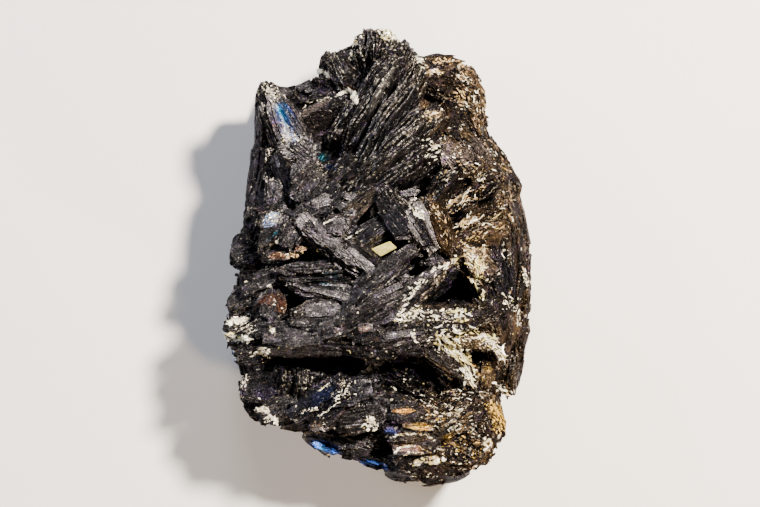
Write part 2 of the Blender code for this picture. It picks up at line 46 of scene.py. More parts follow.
# each crystal: x, y, z of its middle, strike, lean, plunge, half length, half width, thickness
# strike is its long axis seen from above, lean turns its face towards the left of that, plunge lifts the far end
crystals = {
    "spikeAndLeftWall": [
        (-19.4, 27.0, 31.5, -64, 22, 0, 9.6, 3.0, 5.5),
        (-15.6, 20.8, 34.0, 10, 18, 0, 4.0, 2.6, 4.5),
        (-23.0, 25.6, 23.0, 92, 80, 0, 9.6, 9.0, 3.2),
        (-24.4, 13.6, 23.5, 95, 76, 0, 9.6, 9.0, 3.2),
        (-22.0, 15.6, 31.0, 82, 52, 0, 7.0, 3.6, 3.4),
        (-17.4, 15.8, 35.5, -70, -25, 0, 6.0, 1.8, 3.4),
        (-19.6, 11.4, 36.0, -78, 10, 0, 4.4, 2.2, 3.0),
        (-27.4, 1.6, 25.0, 70, 60, 0, 4.6, 6.0, 3.6),
        (-24.6, 6.4, 33.0, 76, 35, 0, 3.6, 2.2, 4.0),
        (-25.6, 0.8, 31.0, 20, 15, 0, 3.8, 3.0, 4.0),
    ],
    "topRecess": [
        (-9.2, 27.0, 29.0, 5, 14, 0, 6.4, 5.4, 2.0),
        (-11.2, 34.0, 26.0, 18, 25, 0, 5.6, 2.8, 2.8),
        (-9.8, 38.8, 21.5, 82, 30, 0, 3.6, 2.4, 5.0),
        (-5.4, 37.0, 27.0, -48, 65, 0, 5.6, 4.5, 3.6),
        (-14.6, 31.4, 24.5, 28, 20, 0, 5.0, 3.0, 2.4),
    ],
    "topFan": [
        (-4.8, 40.4, 23.5, 110, -78, 0, 4.4, 6.5, 2.8),
        (-2.4, 41.6, 24.5, 100, -78, 0, 5.0, 7.0, 2.8),
        (0.2, 41.8, 26.0, 90, -78, 0, 5.0, 7.5, 2.6),
        (2.6, 41.0, 26.5, 80, -78, 0, 4.8, 7.5, 2.6),
        (4.8, 39.5, 26.5, 68, -78, 0, 4.6, 6.5, 2.8),
        (6.8, 37.6, 25.5, 58, -78, 0, 4.2, 6.0, 3.0),
        (-0.2, 30.8, 34.5, 60, -62, 0, 11.2, 5.0, 2.6),
        (-3.4, 27.6, 33.0, 62, -66, 0, 8.6, 5.0, 1.8),
        (-6.2, 23.4, 32.5, 65, -66, 0, 7.4, 5.0, 2.0),
        (2.4, 25.4, 36.0, 57, -62, 0, 10.4, 5.0, 2.2),
        (5.0, 21.6, 37.0, 50, -62, 0, 9.8, 4.6, 2.2),
        (1.4, 17.6, 38.5, 41, -58, 0, 10.0, 3.6, 2.2),
        (6.8, 16.4, 37.5, 36, -58, 0, 8.6, 3.8, 2.0),
        (8.2, 32.4, 29.5, 64, -70, 0, 7.0, 6.0, 2.8),
        (11.4, 28.4, 35.5, 30, 20, 0, 2.3, 1.7, 4.0),
        (10.2, 23.6, 35.5, 48, -55, 0, 6.6, 4.0, 2.4),
        (-6.4, 15.8, 38.0, 48, -40, 0, 5.0, 2.6, 2.4),
    ],
    "topRightLobe": [
        (13.0, 37.8, 26.0, -2, 52, 0, 5.8, 4.2, 4.6),
        (15.4, 33.6, 30.5, -15, 25, 0, 5.6, 3.8, 4.4),
        (18.0, 31.8, 27.5, -72, 45, 0, 7.2, 4.8, 5.0),
        (16.2, 26.8, 32.0, -60, 18, 0, 5.8, 4.6, 4.4),
        (19.8, 28.6, 21.5, -74, 76, 0, 8.4, 8.0, 3.4),
    ],
    "rosette": [
        (23.2, 18.4, 27.5, -60, 58, 0, 6.4, 5.8, 3.6),
        (25.8, 10.4, 27.0, -74, 60, 0, 6.6, 5.8, 3.6),
        (26.8, 2.2, 26.5, -88, 60, 0, 6.2, 5.8, 3.6),
        (26.2, -6.4, 26.0, -95, 60, 0, 6.2, 5.8, 3.6),
        (25.4, -14.4, 25.5, -97, 58, 0, 5.6, 5.8, 3.6),
        (20.0, 19.4, 33.0, -55, 32, 0, 5.8, 3.6, 3.6),
        (15.2, 19.6, 36.0, -52, 12, 0, 5.2, 3.4, 3.4),
        (15.0, 13.2, 37.5, 50, -50, 0, 6.8, 4.0, 2.0),
        (19.2, 12.2, 36.0, 38, -50, 0, 6.8, 4.2, 2.0),
        (20.6, 8.0, 35.5, 32, -50, 0, 7.2, 4.4, 2.0),
        (20.4, 4.4, 35.0, 26, -46, 0, 6.8, 4.4, 2.2),
        (20.0, -1.4, 34.5, -45, 22, 0, 4.8, 3.6, 3.2),
        (24.4, -2.0, 31.0, -86, 42, 0, 8.4, 3.6, 3.2),
        (23.4, -11.0, 31.5, -80, 30, 0, 5.4, 3.6, 3.6),
    ],
    "column": [
        (12.8, 5.4, 39.5, -69, 48, 0, 7.2, 3.2, 3.4),
        (9.0, 6.0, 40.5, -58, 12, 0, 6.4, 3.6, 4.6),
        (4.4, 8.4, 41.0, -50, -14, 0, 6.8, 3.2, 2.8),
        (11.6, -0.4, 39.0, 12, 10, 0, 3.4, 1.8, 3.0),
        (-0.4, 4.8, 39.2, 38, 28, 0, 5.2, 2.2, 3.0),
        (1.6, 11.6, 38.6, 64, -30, 0, 4.4, 2.0, 2.6),
    ],
    "centrePlates": [
        (-13.2, 14.4, 39.0, 50, -12, 0, 4.8, 3.2, 2.6),
        (-10.0, 10.8, 40.0, 32, 10, 0, 4.2, 2.7, 2.6),
        (-3.4, 10.6, 40.0, 40, -30, 0, 5.6, 2.2, 2.4),
        (-8.0, 6.2, 41.4, 26, -6, 0, 3.2, 2.5, 2.2),
        (-12.8, 5.8, 41.2, -45, 12, 0, 3.6, 2.3, 2.4),
        (-16.4, 4.6, 40.4, 60, -12, 0, 3.2, 2.3, 2.6),
        (-19.2, 5.2, 38.8, 44, 20, 0, 5.6, 1.9, 2.6),
        (-21.0, 7.8, 38.6, 50, -20, 0, 2.8, 2.2, 2.6),
        (-7.6, 1.2, 41.6, -34, 28, 0, 8.6, 1.8, 3.0),
        (-2.8, 0.6, 41.0, -40, -15, 0, 5.4, 2.0, 2.6),
        (-18.2, 0.8, 38.0, 15, 20, 0, 4.8, 1.6, 2.8),
        (-10.6, -2.2, 40.2, 2, 35, 0, 8.0, 1.1, 2.2),
        (-11.4, -4.6, 39.6, -3, 35, 0, 7.4, 1.0, 2.0),
        (-8.8, -7.0, 41.0, -8, 25, 0, 8.2, 1.5, 2.6),
        (-11.6, -10.4, 40.6, 12, -8, 0, 5.6, 2.7, 2.2),
        (-20.4, -9.4, 37.8, 60, 8, 0, 3.4, 2.8, 2.6),
        (-24.6, -6.6, 33.5, 38, 25, 0, 6.8, 2.2, 3.4),
        (-22.0, -4.8, 36.5, 32, 20, 0, 4.6, 1.8, 2.8),
    ],
    "lowerLaths": [
        (1.4, -3.8, 42.0, 38, 18, 0, 9.8, 2.0, 3.0),
        (8.0, -7.4, 40.6, 36, 14, 0, 11.2, 2.5, 4.4),
        (-0.6, -11.2, 41.4, 27, -8, 0, 8.4, 3.2, 3.4),
        (12.6, -14.8, 39.4, 15, 20, 0, 12.0, 1.8, 3.4),
        (11.6, -11.8, 37.4, 6, 20, 0, 9.0, 2.0, 3.2),
        (4.2, -15.8, 40.8, 20, -10, 0, 6.8, 2.8, 3.2),
        (16.2, -20.4, 36.2, -52, -10, 0, 6.2, 2.4, 3.4),
        (18.6, -16.4, 38.0, -6, 10, 0, 6.6, 1.9, 2.8),
        (23.8, -18.4, 33.0, -58, 20, 0, 3.8, 1.6, 3.0),
        (21.6, -23.4, 31.5, 82, -15, 0, 3.2, 2.2, 4.0),
        (13.0, -20.4, 35.8, -36, 18, 0, 5.6, 1.7, 3.0),
        (17.6, -24.4, 33.2, -48, 24, 0, 4.8, 1.6, 3.0),
        (-1.8, -14.4, 41.8, 20, -12, 0, 3.6, 2.4, 2.4),
        (-7.8, -13.6, 41.0, 26, 8, 0, 5.4, 2.8, 3.0),
        (-15.6, -15.0, 39.2, 9, 8, 0, 7.0, 2.8, 3.2),
        (-22.0, -14.4, 37.0, 16, 14, 0, 4.8, 2.4, 3.2),
        (-27.2, -14.6, 32.0, 10, 30, 0, 3.8, 2.8, 4.0),
        (-24.0, -19.2, 35.0, 10, -8, 0, 4.4, 2.2, 3.6),
        (-14.0, -17.8, 39.4, 2, -25, 0, 8.4, 1.5, 2.6),
        (-4.4, -17.8, 40.2, -5, -25, 0, 7.6, 1.5, 2.4),
        (4.4, -19.2, 39.2, 8, -22, 0, 6.6, 1.5, 2.4),
    ],
    "lowerLeft": [
        (-15.4, -25.2, 33.0, 88, 60, 0, 3.6, 3.0, 3.0),
        (-18.6, -24.6, 32.5, 80, 55, 0, 3.4, 3.0, 2.6),
        (-23.2, -26.4, 31.5, 8, 12, 0, 4.8, 3.4, 4.0),
        (3.6, -23.2, 34.5, -32, 35, 0, 7.4, 1.5, 2.6),
        (9.0, -21.8, 33.5, -60, 20, 0, 4.6, 1.6, 3.0),
        (-11.4, -28.4, 35.5, 38, 24, 0, 7.4, 2.2, 3.2),
        (-8.8, -31.4, 35.5, 38, 24, 0, 5.2, 1.8, 3.0),
        (-4.6, -27.6, 35.6, 20, 20, 0, 5.0, 2.8, 3.4),
        (-19.0, -30.0, 32.6, 24, -10, 0, 5.6, 2.6, 3.6),
        (-22.4, -31.4, 28.5, -18, -40, 0, 5.2, 3.0, 3.6),
        (-14.6, -32.8, 30.0, 10, -32, 0, 5.4, 3.0, 3.6),
        (-3.0, -32.4, 34.0, 10, -10, 0, 5.6, 2.4, 3.4),
        (-10.8, -36.8, 27.0, -20, -45, 0, 4.6, 3.0, 3.4),
        (-5.0, -37.4, 28.0, -14, -40, 0, 5.0, 3.0, 3.6),
        (-1.4, -40.6, 23.0, -16, -55, 0, 3.4, 3.0, 2.6),
    ],
    "bottomLobe": [
        (8.6, -31.6, 34.6, -4, 16, 0, 6.2, 3.0, 3.6),
        (8.4, -36.4, 34.6, -8, -10, 0, 6.2, 3.0, 4.0),
        (9.8, -41.0, 30.5, -10, -42, 0, 6.4, 4.0, 4.0),
        (16.6, -31.0, 35.0, 30, 6, 0, 6.0, 4.4, 4.4),
        (16.4, -37.2, 33.6, -20, -18, 0, 6.2, 4.2, 4.4),
        (22.2, -33.0, 29.6, -84, 46, 0, 5.8, 4.4, 4.4),
        (20.2, -39.2, 27.0, -140, 52, 0, 5.4, 4.6, 4.4),
        (13.6, -43.0, 24.5, -172, 66, 0, 6.8, 6.0, 4.2),
        (6.0, -43.4, 23.0, -6, -70, 0, 5.0, 6.0, 3.2),
    ],
    "rightBackLayer": [
        (28.4, 9.0, 16.0, -76, 76, 0, 8.4, 6.0, 4.0),
        (30.4, -3.4, 17.0, -90, 80, 5, 8.8, 6.4, 3.4),
        (30.2, -15.6, 15.5, -92, 76, -6, 8.6, 6.0, 3.6),
        (27.6, -23.6, 16.5, -98, 78, 4, 5.8, 6.0, 3.8),
        (26.4, 17.6, 17.5, -52, 74, 0, 6.4, 5.4, 3.8),
    ],
    "backPlates": [
        (-12.0, 21.0, 4.2, 105, 10, 4, 11.0, 7.0, 4.2),
        (6.0, 31.0, 5.2, 20, -9, 0, 10.0, 6.5, 4.0),
        (17.0, 18.0, 4.4, -75, 12, -3, 11.5, 6.8, 4.4),
        (20.0, -4.0, 5.6, 84, -14, 0, 11.0, 7.2, 4.0),
        (17.0, -24.0, 4.2, -60, 10, 4, 10.0, 6.6, 4.4),
        (3.0, -33.0, 5.0, -8, 12, 0, 11.0, 6.4, 4.2),
        (-14.0, -24.0, 4.0, 35, 10, -4, 10.5, 6.6, 4.2),
        (-20.0, -6.0, 5.4, 95, 12, 0, 11.5, 6.4, 4.0),
        (-17.0, 12.0, 3.4, 70, -8, 3, 9.5, 6.0, 3.6),
    ],
}

# the walls' crystals follow the outline, clockwise from the spike
outline = [
    (-23.2, 35.6), (-21.2, 34.6), (-18.8, 33.4), (-15.8, 34.2), (-12.4, 37.2), (-10.2, 41.4),
    (-6.0, 41.0), (-3.6, 44.6), (-1.2, 46.0), (1.6, 45.4), (6.4, 42.4), (9.0, 40.4),
    (16.4, 40.0), (19.6, 36.8), (21.8, 31.0), (22.8, 24.6), (26.0, 19.6), (28.6, 13.0),
    (30.6, 3.0), (31.0, -4.0), (30.4, -11.0), (29.6, -18.0), (28.2, -27.0), (26.0, -31.0),
    (25.4, -36.0), (21.4, -41.8), (16.0, -45.0), (8.0, -46.4), (2.6, -43.6), (-2.6, -41.6),
    (-8.0, -40.0), (-13.0, -38.4), (-16.4, -34.8), (-24.0, -32.6), (-27.2, -29.0), (-28.4, -22.0),
    (-31.0, -15.6), (-29.8, -7.0), (-29.2, 1.6), (-27.0, 6.6), (-26.0, 14.0), (-25.0, 24.0),
]
walls = {
    "shingles": [(9.0, 10, 8.8, 5.6), (18.5, 10, 9.4, 6.4)],  # height, how many, half length, half width
    "books": [(12.5, 11, 5.6, 8.4)],
    "shingleLean": (62.0, 84.0),
    "thickness": (2.8, 4.6),
    "shingleDepth": -0.2,
    "tiltRoom": 0.16,
    "bookDepth": 4.4,
    "middle": (0.5, -2.0),
    "notches": [  # x, y, reach, depth
        (-15.0, 34.0, 12.0, 7.0), (1.0, 45.0, 16.0, 5.0), (23.0, 26.0, 8.0, 3.0),
        (27.0, -29.0, 6.0, 2.0), (8.0, -46.0, 14.0, 4.0), (-29.0, -8.0, 12.0, 2.5),
    ],
}


def outlineWalk(share):
    corners = [Vector(corner) for corner in outline]
    sides = [(a, b) for a, b in zip(corners, corners[1:] + corners[:1])]
    left = share % 1.0 * sum((b - a).length for a, b in sides)
    for a, b in sides:
        if left <= (b - a).length:
            break
        left -= (b - a).length
    return a + (b - a).normalized() * left, math.degrees(math.atan2(b.y - a.y, b.x - a.x))


def notchDepth(point):
    depths = [depth * (1 - (point - Vector((x, y))).length / reach) for x, y, reach, depth in walls["notches"]]
    return max(0.0, *depths)


def wallCrystals(dice):
    rows = []
    for table, across in ((walls["shingles"], False), (walls["books"], True)):
        for height, count, halfLength, halfWidth in table:
            for step in range(count):
                point, heading = outlineWalk((step + dice.uniform(-0.3, 0.3)) / count)
                inward = (Vector(walls["middle"]) - point).normalized()
                point += inward * notchDepth(point)
                size = dice.uniform(0.82, 1.16)
                thickness = dice.uniform(*walls["thickness"])
                if across:
                    place = point + inward * walls["bookDepth"]
                    strike, lean = heading - 90 + dice.uniform(-24, 24), dice.uniform(74, 106)
                else:
                    room = walls["shingleDepth"] + thickness / 2 + halfWidth * walls["tiltRoom"]
                    place = point + inward * room
                    strike, lean = heading + dice.uniform(-10, 10), dice.uniform(*walls["shingleLean"])
                rows.append((
                    place.x, place.y, height + dice.uniform(-1.5, 1.5), strike, lean,
                    dice.uniform(-22, 22), halfLength * size, halfWidth * size, thickness,
                ))
    return rows


def crystalPlace(x, y, z, strike, lean, plunge):
    turn = Matrix.Rotation(math.radians(strike), 4, "Z") @ Matrix.Rotation(math.radians(-plunge), 4, "Y")
    return Matrix.Translation((x, y, z)) @ turn @ Matrix.Rotation(math.radians(-lean), 4, "X")


def crystalForm(row, dice, corners=None):
    # the solid's own crystal: its lower face's corners in its own plane, and all its corners in place
    halfLength, halfWidth, thickness = row[6:9]
    count = corners or (6 if halfLength < 2.2 * halfWidth else 8)
    shape = bmesh.new()
    start = Matrix.Rotation(math.pi / count + math.pi / 2, 4, "Z")
    bmesh.ops.create_cone(shape, cap_ends=True, segments=count, radius1=1.0, radius2=0.88, depth=1.0, matrix=start)
    uneven = {}
    for corner in shape.verts:
        column = round(math.atan2(corner.co.y, corner.co.x), 2)
        stretch = uneven.setdefault(column, dice.uniform(0.9, 1.12))
        corner.co.x = math.copysign(abs(corner.co.x) ** 0.75, corner.co.x) * stretch
        corner.co.y *= stretch
    bmesh.ops.scale(shape, vec=(halfLength, halfWidth, thickness), verts=shape.verts)
    lower = [corner.co.xy for corner in shape.verts if corner.co.z < 0]
    lower.sort(key=lambda corner: math.atan2(corner.y, corner.x))
    place = crystalPlace(*row[:6])
    corners = [place @ corner.co for corner in shape.verts]
    shape.free()
    return {"row": row, "place": place, "lower": lower, "corners": corners}


def layOutCrystals():
    dice = random.Random(specimen["seed"])
    wallRows = wallCrystals(dice)
    forms = []
    for group in list(crystals) + ["walls"]:
        for row in crystals.get(group, wallRows):
            forms.append(dict(crystalForm(row, dice), group=group))
    everyCorner = np.array([corner for form in forms for corner in form["corners"]]) * specimen["tableUnit"]
    low, high = everyCorner.min(0), everyCorner.max(0)
    scale = specimen["length"] / (high[1] - low[1])
    middle = Vector((low[0] + high[0], low[1] + high[1], 0)) / 2
    fit = Matrix.Scale(scale, 4) @ Matrix.Translation(-middle) @ Matrix.Scale(specimen["tableUnit"], 4)
    return forms, fit


forms, tableToFrame = layOutCrystals()
print("crystals laid out:", len(forms))


# the camera looks straight down, as the photograph does
view = {
    "height": 0.4375, "across": 0.0002, "up": 0.0009,  # metres above the table, and off its middle
    "lens": 100.0, "sensor": 36.0,  # mm
    "pixelsAcross": 760, "middlePixel": (380, 253.5),
}
eye = Vector((view["across"], view["up"], view["height"]))
pixelAtOneMetre = view["sensor"] / view["lens"] / view["pixelsAcross"]

# the specimen's edge in the photograph, in pixels, followed clockwise
photoEdge = [
    (262, 79), (270, 82), (279, 86), (283, 88), (298, 85), (311, 75), (318, 71), (320, 66), (321, 53),
    (326, 48), (335, 49), (350, 51), (355, 38), (363, 29), (372, 25), (385, 28), (398, 36), (412, 44),
    (414, 53), (420, 53), (444, 54), (463, 55), (472, 62), (478, 74), (482, 82), (485, 92), (489, 108),
    (491, 120), (495, 132), (493, 141), (504, 154), (513, 166), (515, 177), (522, 184), (522, 200), (526, 220),
    (530, 245), (532, 255), (530, 275), (531, 300), (530, 332), (524, 350), (524, 371), (520, 393), (509, 404),
    (505, 410), (508, 423), (506, 435), (502, 447), (495, 460), (487, 464), (470, 475), (455, 482), (440, 487),
    (418, 490), (395, 483), (386, 475), (383, 470), (366, 467), (360, 461), (340, 459), (318, 455), (311, 449),
    (306, 442), (299, 433), (285, 429), (262, 426), (250, 417), (242, 405), (238, 389), (235, 367), (227, 348),
    (221, 334), (225, 318), (226, 298), (233, 281), (232, 272), (229, 257), (231, 248), (233, 238), (243, 228),
    (244, 215), (247, 185), (250, 165), (251, 150), (257, 140), (255, 120), (255, 100), (257, 90),
]


def seenAt(places):
    # where places in the frame show in the photograph
    apart = (view["height"] - places[:, 2]) * pixelAtOneMetre
    across, down = view["middlePixel"]
    return np.column_stack([
        across + (places[:, 0] - view["across"]) / apart, down - (places[:, 1] - view["up"]) / apart])


def cameraRay(across, down):
    # from the camera through one pixel of the photograph, one metre down
    middleAcross, middleDown = view["middlePixel"]
    return Vector(((across - middleAcross) * pixelAtOneMetre, (middleDown - down) * pixelAtOneMetre, -1))


def pastEdge(pixels):
    # how many pixels each one lies past the photographed edge, and the way back
    corners = np.array(photoEdge, dtype=float)
    sides = np.roll(corners, -1, axis=0) - corners
    share = np.einsum("nsi,si->ns", pixels[:, None] - corners[None], sides) / (sides ** 2).sum(1)
    nearest = corners[None] + np.clip(share, 0, 1)[..., None] * sides[None]
    gaps = np.linalg.norm(pixels[:, None] - nearest, axis=2)
    closest = gaps.argmin(1)
    back = nearest[np.arange(len(pixels)), closest] - pixels
    side = sides[closest]
    outside = side[:, 0] * back[:, 1] - side[:, 1] * back[:, 0] > 0
    return np.where(outside, gaps.min(1), 0), back


# a mesh's own layers: where their values lie, and how many each corner has
layerKinds = {"FLOAT": ("value", 1), "FLOAT_VECTOR": ("vector", 3), "FLOAT_COLOR": ("color", 4)}


def placesOf(mesh):
    places = np.empty(len(mesh.vertices) * 3)
    mesh.vertices.foreach_get("co", places)
    return places.reshape(-1, 3)


def readLayer(mesh, name):
    field, width = layerKinds[mesh.attributes[name].data_type]
    values = np.empty(len(mesh.vertices) * width)
    mesh.attributes[name].data.foreach_get(field, values)
    return values.reshape(-1, width) if width > 1 else values


def writeLayer(mesh, name, kind, values):
    layer = mesh.attributes.get(name) or mesh.attributes.new(name, kind, "POINT")
    layer.data.foreach_set(layerKinds[kind][0], np.ravel(values))


def triangleCount(mesh):
    return sum(len(face.vertices) - 2 for face in mesh.polygons)


def addObject(name, data):
    made = bpy.data.objects.new(name, data)
    bpy.context.scene.collection.objects.link(made)
    return made


def noiseAt(places):
    return np.array([noise.noise(Vector(place)) for place in places.tolist()])


def linear(hexColour):
    parts = [int(hexColour[i:i + 2], 16) / 255 for i in (1, 3, 5)]
    return tuple(p / 12.92 if p <= 0.04045 else ((p + 0.055) / 1.055) ** 2.4 for p in parts)


# colours of the minerals and their tarnish, as sRGB; black is painted shade, the dark plate colour serves both
# darker plates and painted shade, and pale grey, lilac and pale blue serve partly as painted highlights
finishes = {
    "greyPlate": "#3a383a",
    "darkPlateAndShade": "#131216",
    "brownPlate": "#2c2218",
    "bronze": "#523f28",
    "gold": "#d8ae52",
    "amber": "#c68a38",
    "copper": "#7a5038",
    "rust": "#4d2e1d",
    "purple": "#3b3150",
    "blue": "#0a2352",
    "paleBlueHighlight": "#86a2d6",
    "cobalt": "#2c58b4",
    "teal": "#10586a",
    "cream": "#f4ead0",
    "paleCream": "#fbf3dc",
    "yellow": "#dbcd80",
    "lilacAndHighlight": "#7b7088",
    "paleGreyAndHighlight": "#928d88",
    "tan": "#7c6547",
    "honey": "#c9a672",
    "paintedShadeBlack": "#060607",
}

# where each finish shows: across, down, half width, half height, turn, finish, strength;
# the black marks are painted shade in hollows, gaps and crevices, several dark plate marks are painted shade on
# faces turned from the light or lying in a recess, and the pale grey, lilac and pale blue marks include painted
# highlights
finishPlaces = [
    # painted shade and highlights on the spike: the dark plate and black marks darken its face against the key
    # light's highlight, and the lilac and pale blue marks at its foot are painted glints
    (277, 130, 27, 6, -62, "darkPlateAndShade", 0.9),
    (288, 116, 16, 8, -60, "blue", 1.0),
    (296, 112, 14, 2, -60, "copper", 0.3),
    (291, 124, 4, 3, -60, "purple", 0.6),
    (281, 106, 4, 3, 0, "teal", 0.5),
    (286, 122, 8, 2, -60, "teal", 0.45),
    (283, 116, 15, 6, -60, "blue", 1.0),
    (280, 120, 16, 2.2, -64, "darkPlateAndShade", 0.9),
    (279, 109, 4, 2, -60, "teal", 0.6),
    (289, 119, 7, 2, -60, "paintedShadeBlack", 0.6),
    (291, 137, 8, 4, -30, "lilacAndHighlight", 0.4),
    (295, 140, 4, 3, 0, "paleBlueHighlight", 0.7),
    (270, 91, 12, 9, 0, "paleGreyAndHighlight", 0.5),
    (330, 124, 32, 24, 0, "brownPlate", 0.75),
    (330, 124, 26, 20, 0, "darkPlateAndShade", 0.6),
    (298, 152, 16, 10, 0, "paleGreyAndHighlight", 0.3),
    # painted shade in the recesses round the disc plate and under the plate behind it
    (295, 97, 12, 6, 0, "paintedShadeBlack", 0.9),
    (332, 152, 12, 10, 0, "paintedShadeBlack", 0.8),
    (325, 84, 16, 8, 0, "darkPlateAndShade", 0.9),
    (351, 89, 6, 3, 0, "rust", 0.9),
    (323, 158, 6, 4, -30, "teal", 0.8),
    (331, 168, 6, 4, -30, "blue", 0.8),
    (392, 37, 7, 4, 0, "yellow", 0.5),
    (424, 105, 5, 7, 0, "bronze", 0.9),
    (433, 115, 8, 6, 0, "paleGreyAndHighlight", 0.6),
    (445, 120, 7, 18, 0, "darkPlateAndShade", 0.8),
    # painted shade in a gap between the lobe's blades
    (447, 84, 12, 4, 0, "paintedShadeBlack", 0.8),
    (455, 95, 38, 40, 0, "bronze", 0.4),
    (441, 59, 22, 3, 0, "copper", 0.4),
    (480, 195, 34, 58, 0, "brownPlate", 0.5),
    (506, 190, 10, 44, 10, "bronze", 0.3),
    (514, 280, 12, 84, 0, "darkPlateAndShade", 0.7),
    (500, 285, 18, 50, 0, "darkPlateAndShade", 0.8),
    (470, 205, 24, 30, 20, "darkPlateAndShade", 0.6),
    (372, 125, 30, 56, -30, "darkPlateAndShade", 0.35),
    # painted highlight along the edge-lit finger blade
    (382, 89, 32, 5, 62, "paleGreyAndHighlight", 0.75),
    (352, 66, 14, 8, -45, "bronze", 0.4),
    # painted shade in two small hollows
    (455, 221, 9, 8, 20, "paintedShadeBlack", 0.8),
    (487, 202, 9, 5, 20, "paintedShadeBlack", 0.7),
    (441, 230, 11, 28, 20, "bronze", 1.0),
    (441, 230, 11, 28, 20, "brownPlate", 0.8),
    # painted shade darkens this plate where it faces the key light, and the next mark is a painted highlight at
    # the top of its neighbour
    (424, 230, 8, 27, 20, "darkPlateAndShade", 0.75),
    (410, 193, 10, 6, 0, "lilacAndHighlight", 0.35),
    # painted highlight on the silver facet at the left, in pale grey and pale blue
    (274, 220, 10, 7, 30, "paleGreyAndHighlight", 0.9),
    (270, 224, 5, 3, 0, "paleBlueHighlight", 0.6),
    (275, 234, 10, 2, 40, "teal", 0.7),
    (262, 210, 5, 4, 0, "purple", 0.8),
    (258, 224, 10, 12, 0, "copper", 0.3),
    (278, 256, 11, 5, 0, "copper", 0.6),
    (300, 249, 9, 4, 0, "copper", 0.55),
    (268, 300, 18, 6, 20, "rust", 0.7),
    (282, 306, 9, 9, 0, "rust", 0.8),
    (267, 194, 12, 12, 0, "purple", 0.35),
    (336, 276, 8, 9, 0, "teal", 0.4),
    (355, 285, 6, 5, 0, "blue", 0.35),
    # painted shade in the thin gaps between these plates
    (318, 275, 9, 3, 0, "paintedShadeBlack", 0.9),
    (317, 283, 11, 3, 0, "paintedShadeBlack", 0.9),
    (325, 253, 18, 5, 25, "paintedShadeBlack", 0.8),
    (365, 329, 9, 7, 0, "rust", 0.5),
    # painted shade deep in the big hollow
    (455, 291, 25, 17, 0, "paintedShadeBlack", 1.0),
    (434, 294, 16, 13, 40, "paintedShadeBlack", 1.0),
    (438, 284, 13, 9, 45, "paintedShadeBlack", 1.0),
    (450, 276, 11, 7, 30, "paintedShadeBlack", 1.0),
    (526, 290, 7, 110, 0, "darkPlateAndShade", 0.85),
    # painted shade along the lower rim, which faces away from the light
    (446, 477, 54, 12, 10, "darkPlateAndShade", 0.95),
    (330, 398, 40, 22, 30, "darkPlateAndShade", 0.8),
    # painted shade down the left wall, seen edge-on and turned from the light
    (262, 150, 8, 50, 0, "darkPlateAndShade", 0.6),
    # painted shade in hollows and along the ledge's recess
    (412, 262, 10, 7, 0, "paintedShadeBlack", 0.9),
    (475, 357, 5, 8, 0, "paintedShadeBlack", 0.9),
    (405, 374, 36, 22, 0, "paintedShadeBlack", 0.92),
    (320, 361, 40, 7, 0, "paintedShadeBlack", 0.8),
    (235, 348, 5, 5, 0, "bronze", 0.7),
    (322, 396, 14, 8, 35, "blue", 0.22),
    (285, 384, 34, 22, 0, "darkPlateAndShade", 0.8),
    (312, 232, 14, 10, -40, "darkPlateAndShade", 0.5),
    (264, 380, 30, 42, 0, "darkPlateAndShade", 0.5),
    (265, 393, 10, 7, 0, "purple", 0.3),
    (320, 426, 9, 5, 0, "bronze", 0.5),
    (358, 446, 16, 8, 0, "copper", 0.22),
    (325, 448, 17, 8, -20, "blue", 1.0),
    (318, 444, 6, 2.5, -34, "cobalt", 0.7),
    (328, 450, 6, 2, -10, "cobalt", 0.55),
    (322, 448, 3, 2, -50, "teal", 0.6),
    # painted shade in the crevices between the blue facets, and a painted highlight on them
    (321, 446, 12, 0.9, -32, "paintedShadeBlack", 0.85),
    (327, 447, 9, 0.8, -6, "paintedShadeBlack", 0.8),
    (329, 452, 9, 0.8, -14, "paintedShadeBlack", 0.8),
    (315, 442, 3, 1.5, -20, "paleBlueHighlight", 0.35),
    (374, 466, 13, 5, -10, "cobalt", 1.9),
    # painted highlight on the blue patch, and painted shade in its crevice
    (371, 465, 5, 2, 0, "paleBlueHighlight", 0.9),
    (376, 467, 8, 0.8, -16, "paintedShadeBlack", 0.8),
    (404, 411, 14, 4, 0, "copper", 0.5),
    (405, 411, 12, 2.5, 0, "amber", 1.0),
    (418, 426, 14, 4, 0, "gold", 0.95),
    (424, 429, 8, 3, 0, "amber", 0.7),
    (396, 424, 14, 5, 0, "purple", 0.8),
    (392, 430, 9, 6, 0, "purple", 0.9),
    (391, 432, 7, 3, 0, "cobalt", 0.6),
    (384, 444, 9, 5, 20, "blue", 0.7),
    (392, 446, 7, 4, 0, "copper", 0.5),
    (412, 448, 18, 7, 0, "copper", 0.75),
    (408, 450, 8, 3, 0, "lilacAndHighlight", 0.6),
    (448, 437, 5, 5, 0, "gold", 0.8),
    (457, 451, 7, 6, 0, "gold", 0.7),
    (497, 416, 8, 15, 0, "gold", 0.75),
    (445, 440, 60, 34, 0, "bronze", 0.3),
    (450, 405, 40, 22, 0, "brownPlate", 0.5),
    (388, 472, 9, 7, 0, "purple", 0.4),
    (488, 371, 6, 7, 0, "gold", 0.5),
]

# how much broken cream shows along each stretch: across, down, half width, half height, turn, amount
flecks = [
    (460, 90, 42, 42, 0, 0.16),
    (380, 45, 30, 20, 0, 0.20),
    (500, 220, 24, 70, 0, 0.13),
    (412, 316, 16, 6, 0, 0.28),
    (450, 318, 18, 6, 0, 0.28),
    (470, 345, 30, 26, -25, 0.28),
    (478, 268, 16, 22, 0, 0.30),
    (450, 420, 54, 34, 0, 0.18),
    (345, 392, 12, 12, 0, 0.3),
    (240, 328, 12, 12, 0, 0.5),
    (268, 92, 14, 9, 0, 0.25),
    (505, 390, 10, 8, 0, 0.4),
    (378, 257, 170, 240, 0, 0.04),
]


